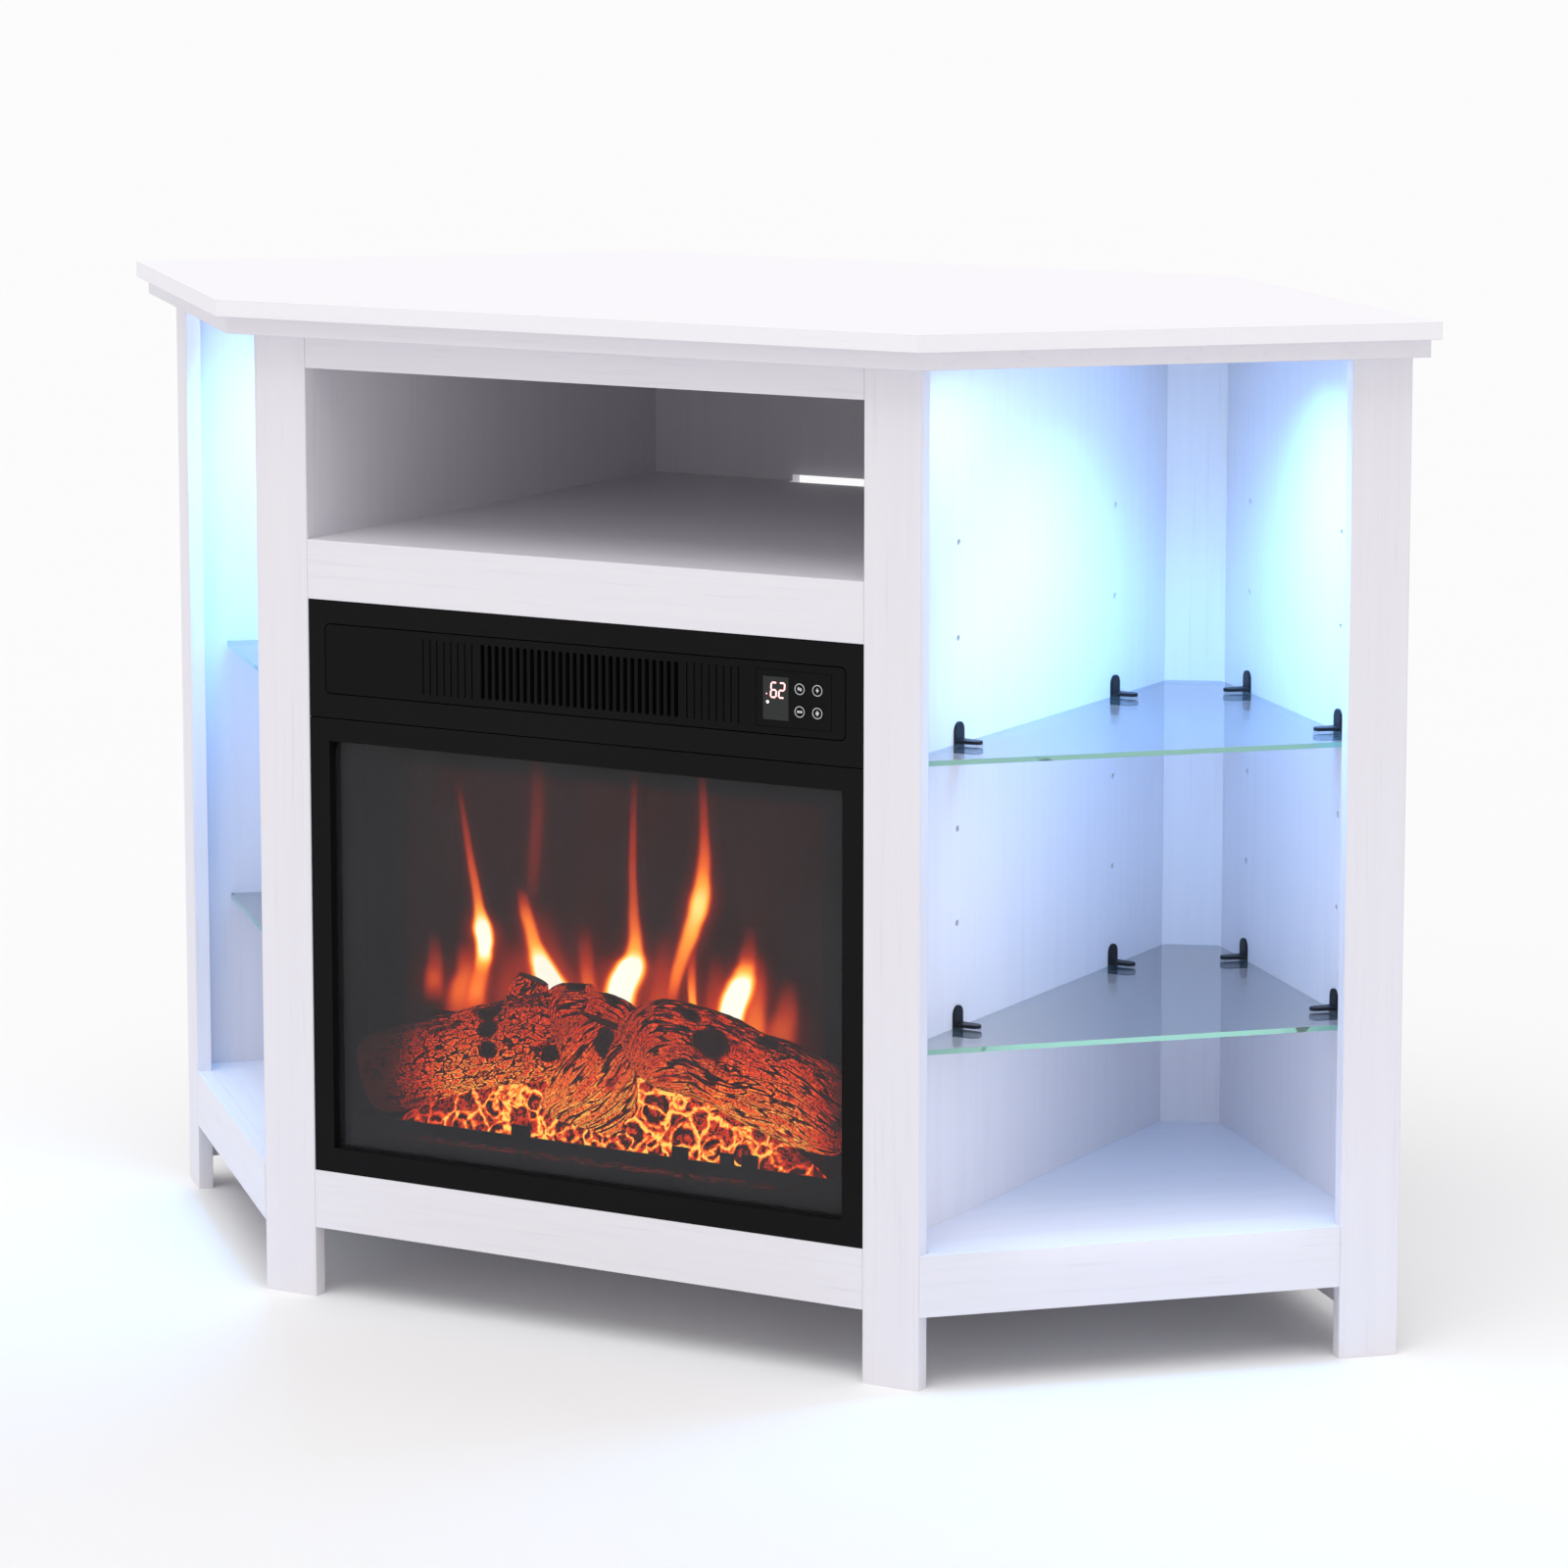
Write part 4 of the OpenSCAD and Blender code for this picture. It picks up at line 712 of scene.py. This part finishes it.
# Millimetres: a bar's two lengths and width, its lean, and the places from the window's corner
BAR_ACROSS, BAR_UP, BAR_WIDE, LEAN = 4.6, 5.6, 1.25, 0.35
DIGIT_LEFT = {"6": 6.6, "2": 13.6}
DIGIT_TOP = 4.6
LIT_THICK, PRINT_THICK = 0.12, 0.08


def thicken(build, faces, thick):
    """Extrudes flat faces toward the viewer."""
    grown = bmesh.ops.extrude_face_region(build, geom=faces)["geom"]
    bmesh.ops.translate(build, vec=(0, -thick / 1000, 0),
                        verts=[part for part in grown if isinstance(part, bmesh.types.BMVert)])


def add_shape(build, points, depth, thick):
    """A flat shape of (x, z) points in mm, given a little thickness toward the viewer."""
    corners = [build.verts.new(at(x, depth, z)) for x, z in points]
    thicken(build, [build.faces.new(corners)], thick)


def add_stroke(build, a, b, wide, depth, thick):
    """A bar with pointed ends, as on a seven-segment display."""
    run = Vector(b) - Vector(a)
    along = run.normalized()
    out = Vector((-along.y, along.x)) * wide / 2
    a, b = Vector(a) + along * wide * 0.15, Vector(b) - along * wide * 0.15
    tip = along * wide / 2
    add_shape(build, [a, a + tip - out, b - tip - out, b, b - tip + out, a + tip + out],
              depth, thick)


def upright(centre, depth):
    """Stands a flat shape up to face the viewer, at a place on the control strip."""
    place = Matrix.Translation(at(centre[0], depth, centre[1]))
    return place @ Matrix.Rotation(math.pi / 2, 4, "X")


def add_ring(build, centre, radius, wide, depth, thick):
    place = upright(centre, depth)
    made = bmesh.ops.create_circle(build, segments=40, radius=radius / 1000, matrix=place)["verts"]
    edges = list({edge for vert in made for edge in vert.link_edges})
    grown = bmesh.ops.extrude_edge_only(build, edges=edges)["geom"]
    inner = [part for part in grown if isinstance(part, bmesh.types.BMVert)]
    bmesh.ops.scale(build, vec=Vector((1, 1, 1)) * (1 - wide / radius),
                    space=place.inverted(), verts=inner)
    thicken(build, list({face for vert in inner for face in vert.link_faces}), thick)


def add_dot(build, centre, radius, depth, thick, squash=1.0):
    place = upright(centre, depth) @ Matrix.Diagonal((squash, 1, 1, 1))
    made = bmesh.ops.create_circle(build, cap_ends=True, segments=24, radius=radius / 1000,
                                   matrix=place)["verts"]
    thicken(build, list(made[0].link_faces), thick)


def millimetres(node):
    """A node's box across, in depth behind the post faces and in height, in mm."""
    low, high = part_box(node)
    return ([low[0] * 1000, (low[1] - front_y) * 1000, low[2] * 1000],
            [high[0] * 1000, (high[1] - front_y) * 1000, high[2] * 1000])


def build_display():
    """The two lit digits, their point and the dot of light below them."""
    low, high = millimetres("display_window")
    left, face, top = low[0], low[1], high[2]
    build = bmesh.new()
    for digit, from_left in DIGIT_LEFT.items():
        foot = top - DIGIT_TOP - 2 * BAR_UP
        for stroke in DIGITS[digit]:
            ends = [(left + from_left + x * BAR_ACROSS + z * LEAN, foot + z * BAR_UP)
                    for x, z in DIGIT_STROKES[stroke]]
            add_stroke(build, *ends, BAR_WIDE, face, LIT_THICK)
    add_dot(build, (left + 3.2, top - 13.4), 0.55, face, LIT_THICK)
    finished("display_digits", build, glowing("digit_red", (1.0, 0.12, 0.09), 1.7))
    build = bmesh.new()
    add_dot(build, (left + 4.0, top - 19.6), 1.15, face, 0.15)
    finished("display_dot", build, glowing("dot_white", (1.0, 0.80, 0.74), 1.5))


def build_button_marks():
    """A printed ring and sign on each button."""
    print_white = metal_or_plastic("button_print", (0.62, 0.62, 0.62), 0.5, spread=0.05)
    for name in BUTTONS:
        low, high = millimetres("button_" + name)
        x, face, z = (low[0] + high[0]) / 2, low[1], (low[2] + high[2]) / 2
        build = bmesh.new()
        add_ring(build, (x, z), 4.3, 0.62, face, PRINT_THICK)
        if name == "power":
            for side in (-1, 1):
                add_dot(build, (x + side * 0.95, z - side * 0.25), 1.35, face, PRINT_THICK, 0.62)
        elif name == "flame":
            half = ((0, 2.3), (0.55, 0.8), (1.5, 0), (0.55, -0.8), (0, -1.9))
            outline = half + tuple((-a, b) for a, b in half[-2:0:-1])
            add_shape(build, [(x + a, z + b) for a, b in outline], face, PRINT_THICK)
        elif name == "heat":
            for side in (-1, 0, 1):
                add_dot(build, (x + side * 1.5, z), 0.95, face, PRINT_THICK, 0.85)
        else:
            add_dot(build, (x, z), 1.45, face, PRINT_THICK)
            add_shape(build, [(x + a, z + b) for a, b in ((-0.3, 2.2), (0.3, 2.2), (0.3, -2.2),
                                                          (-0.3, -2.2))], face, 0.05)
        finished("button_mark_" + name, build, print_white, "button_" + name)


# ------------------------------------------------------------------ shelf clips
# Metres: a tongue's length, width at its root, radius of its tip and thickness
TONGUE_REACH, TONGUE_WIDE, TONGUE_TIP, TONGUE_THICK = 0.021, 0.013, 0.0045, 0.0026


def clip_places():
    """Where each shelf clip stands: its place on the panel and the way its tongue points."""
    build = bmesh.new()
    build.from_mesh(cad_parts["shelf_clips"].data)
    bmesh.ops.remove_doubles(build, verts=build.verts, dist=1e-6)
    left = set(build.verts)
    found = []
    while left:
        group, edge_of_group = set(), [left.pop()]
        while edge_of_group:
            vert = edge_of_group.pop()
            group.add(vert)
            for edge in vert.link_edges:
                other = edge.other_vert(vert)
                if other in left:
                    left.discard(other)
                    edge_of_group.append(other)
        middle = sum((vert.co for vert in group), Vector()) / len(group)
        side = 1 if middle.x > 0 else -1
        on_partition = abs(middle.x) < half_front
        way = Vector((side, 0, 0) if on_partition else (-side, -1, 0)).normalized()
        reach = [vert.co.dot(way) for vert in group]
        cross = Vector((-way.y, way.x, 0))
        offsets = [vert.co.dot(cross) for vert in group]
        root = max(reach) - TONGUE_REACH
        centred = cross * (min(offsets) + max(offsets)) / 2
        found.append((way * root + centred, way, cross, middle.z))
    build.free()
    return found


def build_clip_tongues(material):
    """The tongue over the glass on each clip: tapered, round at its tip, with eased edges."""
    build = bmesh.new()
    tops = sorted(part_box("glass_shelf_%s_right" % level)[HIGH][2] for level in ("lower", "upper"))
    for root, way, cross, height in clip_places():
        top = min(tops, key=lambda level: abs(level - height)) + 0.0003
        outline = [(0.001, -TONGUE_WIDE / 2), (0.001, TONGUE_WIDE / 2)]
        for k in range(11):
            turn = math.pi / 2 - math.pi * k / 10
            outline.append((TONGUE_REACH - TONGUE_TIP * (1 - math.cos(turn)),
                            TONGUE_TIP * math.sin(turn)))
        verts = [build.verts.new(root + way * a + cross * b + Vector((0, 0, top)))
                 for a, b in outline]
        grown = bmesh.ops.extrude_face_region(build, geom=[build.faces.new(verts)])["geom"]
        lifted = [part for part in grown if isinstance(part, bmesh.types.BMVert)]
        bmesh.ops.translate(build, vec=(0, 0, TONGUE_THICK), verts=lifted)
        rim = [part for part in grown if isinstance(part, bmesh.types.BMEdge)]
        bmesh.ops.bevel(build, geom=rim, offset=0.0006, affect="EDGES", segments=2,
                        profile=0.5, material=-1)
    finished("clip_tongues", build, material)


# ------------------------------------------------------------------ finishes of the model's nodes
def finish_nodes():
    """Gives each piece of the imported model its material."""
    black = metal_or_plastic("satin_black", (0.0050, 0.0050, 0.0052), 0.42, gloss=0.05)
    panel = metal_or_plastic("panel_black", (0.0042, 0.0042, 0.0045), 0.36, grit=1500, gloss=0.05)
    inner = metal_or_plastic("liner_black", (0.006, 0.006, 0.0065), 0.6, gloss=0.1)
    clip = metal_or_plastic("clip_black", (0.006, 0.007, 0.009), 0.38, gloss=0.25)
    zinc = metal_or_plastic("zinc", (0.52, 0.53, 0.55), 0.35, 1.0, grit=300)
    steel = metal_or_plastic("bright_steel", (0.66, 0.66, 0.67), 0.28, 1.0)
    fins = metal_or_plastic("heater_fins", (0.035, 0.035, 0.037), 0.5)
    upright = laminate("laminate_upright")
    # The inner boards take a slightly darker, bluer copy of the white laminate: painted shade.
    inside = laminate("laminate_inside_painted_shade", colour=(0.79, 0.77, 0.82), shade=(0.67, 0.655, 0.73))
    level = laminate("laminate_level", along="x")
    # The top slab's laminate is a paler copy of the white: painted light falling from above.
    top = laminate("laminate_top_painted_light", along="x", colour=(0.87, 0.85, 0.885),
                   shade=(0.83, 0.81, 0.85))
    glass = shelf_glass()
    turned = {"right": laminate("laminate_wing_right", -45, "x"),
              "left": laminate("laminate_wing_left", 45, "x")}
    looks = {
        "top_slab": top, "top_moulding": level, "header_rail": level, "shelf_rail": level,
        "bottom_rail": level, "media_shelf": level, "centre_base": level,
        "rear_panel": inside, "rear_rail": level,
        "shelf_clips": clip, "insert_casing": inner, "firebox_divider": inner,
        "window_frame": black, "fascia_frame": black, "window_glass": window_glass(),
        "control_panel": panel, "log_tray": inner, "grate_fret": lit_fret(),
        "display_window": metal_or_plastic("display_lens", (0.030, 0.033, 0.032), 0.2, gloss=0.1),
        "control_board": metal_or_plastic("circuit_board", (0.01, 0.10, 0.035), 0.4),
        "flame_rotor": steel, "blower_wheel": fins, "blower_housing": inner,
        "rotor_motor": steel, "blower_motor": steel, "heating_element": fins,
        "rotor_bush": metal_or_plastic("bush_plastic", (0.60, 0.55, 0.42), 0.45),
        "flame_led_board": metal_or_plastic("lamp_board", (0.7, 0.68, 0.6), 0.5),
        "insert_brackets": zinc, "fixing_screws": zinc,
        "cord_gland": metal_or_plastic("gland_rubber", (0.012, 0.012, 0.012), 0.7),
    }
    for side in ("left", "right"):
        looks["front_post_" + side] = upright
        looks["wing_post_" + side] = upright
        looks["wing_rail_" + side] = turned[side]
        looks["bay_floor_" + side] = turned[side]
        looks["partition_" + side] = inside
        looks["rear_wall_" + side] = inside
        looks["rear_stile_" + side] = inside
        looks["led_channel_" + side] = zinc
        looks["led_strip_" + side] = glowing("led_lit_" + side, (0.65, 0.92, 1.0), 6.0)
        looks["glass_shelf_upper_" + side] = glass
        looks["glass_shelf_lower_" + side] = glass
    for name in BUTTONS:
        looks["button_" + name] = panel
    looks["log_set"] = metal_or_plastic("log_base", (0.05, 0.02, 0.012), 0.8)
    looks["ember_bed"] = glowing("ember_base", (1.0, 0.22, 0.03), 1.2)
    looks["flame_screen"] = lit_screen()
    for name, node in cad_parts.items():
        node.data.materials.clear()
        node.data.materials.append(looks[name])
    build_clip_tongues(clip)


# ------------------------------------------------------------------ stage, light and camera
FLOOR_HALF = 60                         # half the floor's side, metres
WORLD_STRENGTH, WORLD_COLOUR = 0.80, (1.0, 0.992, 1.0)
WHITE_SEEN = 0.982                      # the background as seen, and as mirrored
KEY_STRENGTH, KEY_PLACE, KEY_SIZE = 1.05, (0.3, -1.7, 3.7), 45
BLUE = (0.12, 0.42, 1.0)
PALE_BLUE = (0.72, 0.84, 1.0)
LED_WATTS, BLUE_WATTS = 0.38, 1.7
FILL_WATTS = {"left": 0.08, "right": 0.22}
FILL_HEIGHT = 0.36                      # middle of the soft light inside a bay
BELOW_STRIP, BELOW_CHANNEL = 0.004, 0.012


def build_stage():
    """A wide pale floor under the cabinet."""
    build = bmesh.new()
    bmesh.ops.create_grid(build, x_segments=1, y_segments=1, size=FLOOR_HALF)
    mesh = bpy.data.meshes.new("floor")
    build.to_mesh(mesh)
    build.free()
    ground = bpy.data.objects.new("floor", mesh)
    bpy.context.collection.objects.link(ground)
    paint = Paint("floor_paper", (0.885, 0.885, 0.89), 0.9)
    drifts = paint.noise(3, 2)
    paint.set("Base Color", paint.mix(drifts, (0.882, 0.882, 0.884), (0.887, 0.887, 0.889)))
    paint.set("Specular IOR Level", 0.0)
    mesh.materials.append(paint.material)


def light_world():
    """Even light from all round; the eye, metal and glass see a white background instead."""
    world = bpy.data.worlds.new("studio")
    bpy.context.scene.world = world
    world.use_nodes = True
    tree = world.node_tree
    back = tree.nodes["Background"]
    back.inputs["Color"].default_value = (*WORLD_COLOUR, 1)
    back.inputs["Strength"].default_value = WORLD_STRENGTH
    plain = tree.nodes.new("ShaderNodeBackground")
    plain.inputs["Color"].default_value = (WHITE_SEEN, WHITE_SEEN, WHITE_SEEN, 1)
    rays = tree.nodes.new("ShaderNodeLightPath")
    seen_rays = rays.outputs["Is Camera Ray"]
    for kind in ("Is Glossy Ray", "Is Transmission Ray"):
        either = tree.nodes.new("ShaderNodeMath")
        either.operation = "MAXIMUM"
        tree.links.new(seen_rays, either.inputs[0])
        tree.links.new(rays.outputs[kind], either.inputs[1])
        seen_rays = either.outputs[0]
    choose = tree.nodes.new("ShaderNodeMixShader")
    tree.links.new(seen_rays, choose.inputs[0])
    tree.links.new(back.outputs[0], choose.inputs[1])
    tree.links.new(plain.outputs[0], choose.inputs[2])
    tree.links.new(choose.outputs[0], tree.nodes["World Output"].inputs["Surface"])


def add_light(name, kind, place, energy, colour=(1, 1, 1), **fields):
    light = bpy.data.lights.new(name, kind)
    light.energy = energy
    light.color = colour
    for field, value in fields.items():
        setattr(light, field, value)
    thing = bpy.data.objects.new(name, light)
    bpy.context.collection.objects.link(thing)
    thing.location = place
    thing.rotation_mode = "QUATERNION"
    return thing


def look(lamp, way):
    """Turns a lamp to shine one way."""
    lamp.rotation_quaternion = Vector(way).to_track_quat("-Z", "Y")


def aimed(lamp, way, along):
    """Turns a lamp to shine one way, with its long side along another that is square to it."""
    way = way.normalized()
    across = way.cross(along).normalized()
    turn = Matrix.Identity(3)
    turn.col[0], turn.col[1], turn.col[2] = across.cross(way), -across, -way
    lamp.rotation_quaternion = turn.to_quaternion()


def light_room():
    key = add_light("key", "SUN", KEY_PLACE, KEY_STRENGTH, angle=math.radians(KEY_SIZE))
    look(key, -Vector(KEY_PLACE))


def light_bays():
    """In each bay the cool light of its strip, a blue wash and a soft light that fills it."""
    down = Vector((0, 0, -1))
    for side, sign in (("left", -1), ("right", 1)):
        low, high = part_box("led_strip_" + side)
        middle = (Vector(low) + Vector(high)) / 2
        wing, inward = Vector((sign, 1, 0)), Vector((-sign, 1, 0))
        strip = add_light("bay_light_" + side, "AREA",
                          Vector((middle.x, middle.y, low[2] - BELOW_STRIP)),
                          LED_WATTS, LED_COLOUR, shape="RECTANGLE", size=0.28, size_y=0.02,
                          spread=math.radians(130))
        aimed(strip, inward * 0.42 + down, wing)
        bay_low, bay_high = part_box("bay_floor_" + side)
        deep = (Vector(bay_low) + Vector(bay_high)) / 2
        deep.z = low[2] - BELOW_CHANNEL
        wash = add_light("bay_blue_" + side, "AREA", deep, BLUE_WATTS, BLUE, shape="DISK",
                         size=0.16, spread=math.radians(110))
        look(wash, down + Vector((0, 0.05, 0)))
        fill = add_light("bay_fill_" + side, "AREA", Vector((middle.x, middle.y, FILL_HEIGHT)),
                         FILL_WATTS[side], PALE_BLUE, shape="RECTANGLE", size=0.24, size_y=0.50)
        aimed(fill, inward + down * 0.25, wing)


def place_camera():
    """The photograph's viewpoint: a long lens, turned to the right and looking down a little."""
    camera = bpy.data.cameras.new("camera")
    camera.sensor_width = 36
    camera.lens = 124.33
    camera.shift_y = -0.10          # keeps the uprights nearly parallel, as in the photograph
    camera.clip_end = 200
    thing = bpy.data.objects.new("camera", camera)
    bpy.context.collection.objects.link(thing)
    thing.location = (2.1632, front_y - 3.4826, 1.1543)
    thing.rotation_euler = (math.radians(90 - 8.255), 0, math.radians(29.638))
    bpy.context.scene.camera = thing
    bpy.context.view_layer.update()


place_camera()
finish_nodes()
build_logs()
build_embers()
build_flames()
build_display()
build_button_marks()
build_stage()
light_world()
light_room()
light_bays()
bpy.context.scene.view_settings.view_transform = "Standard"
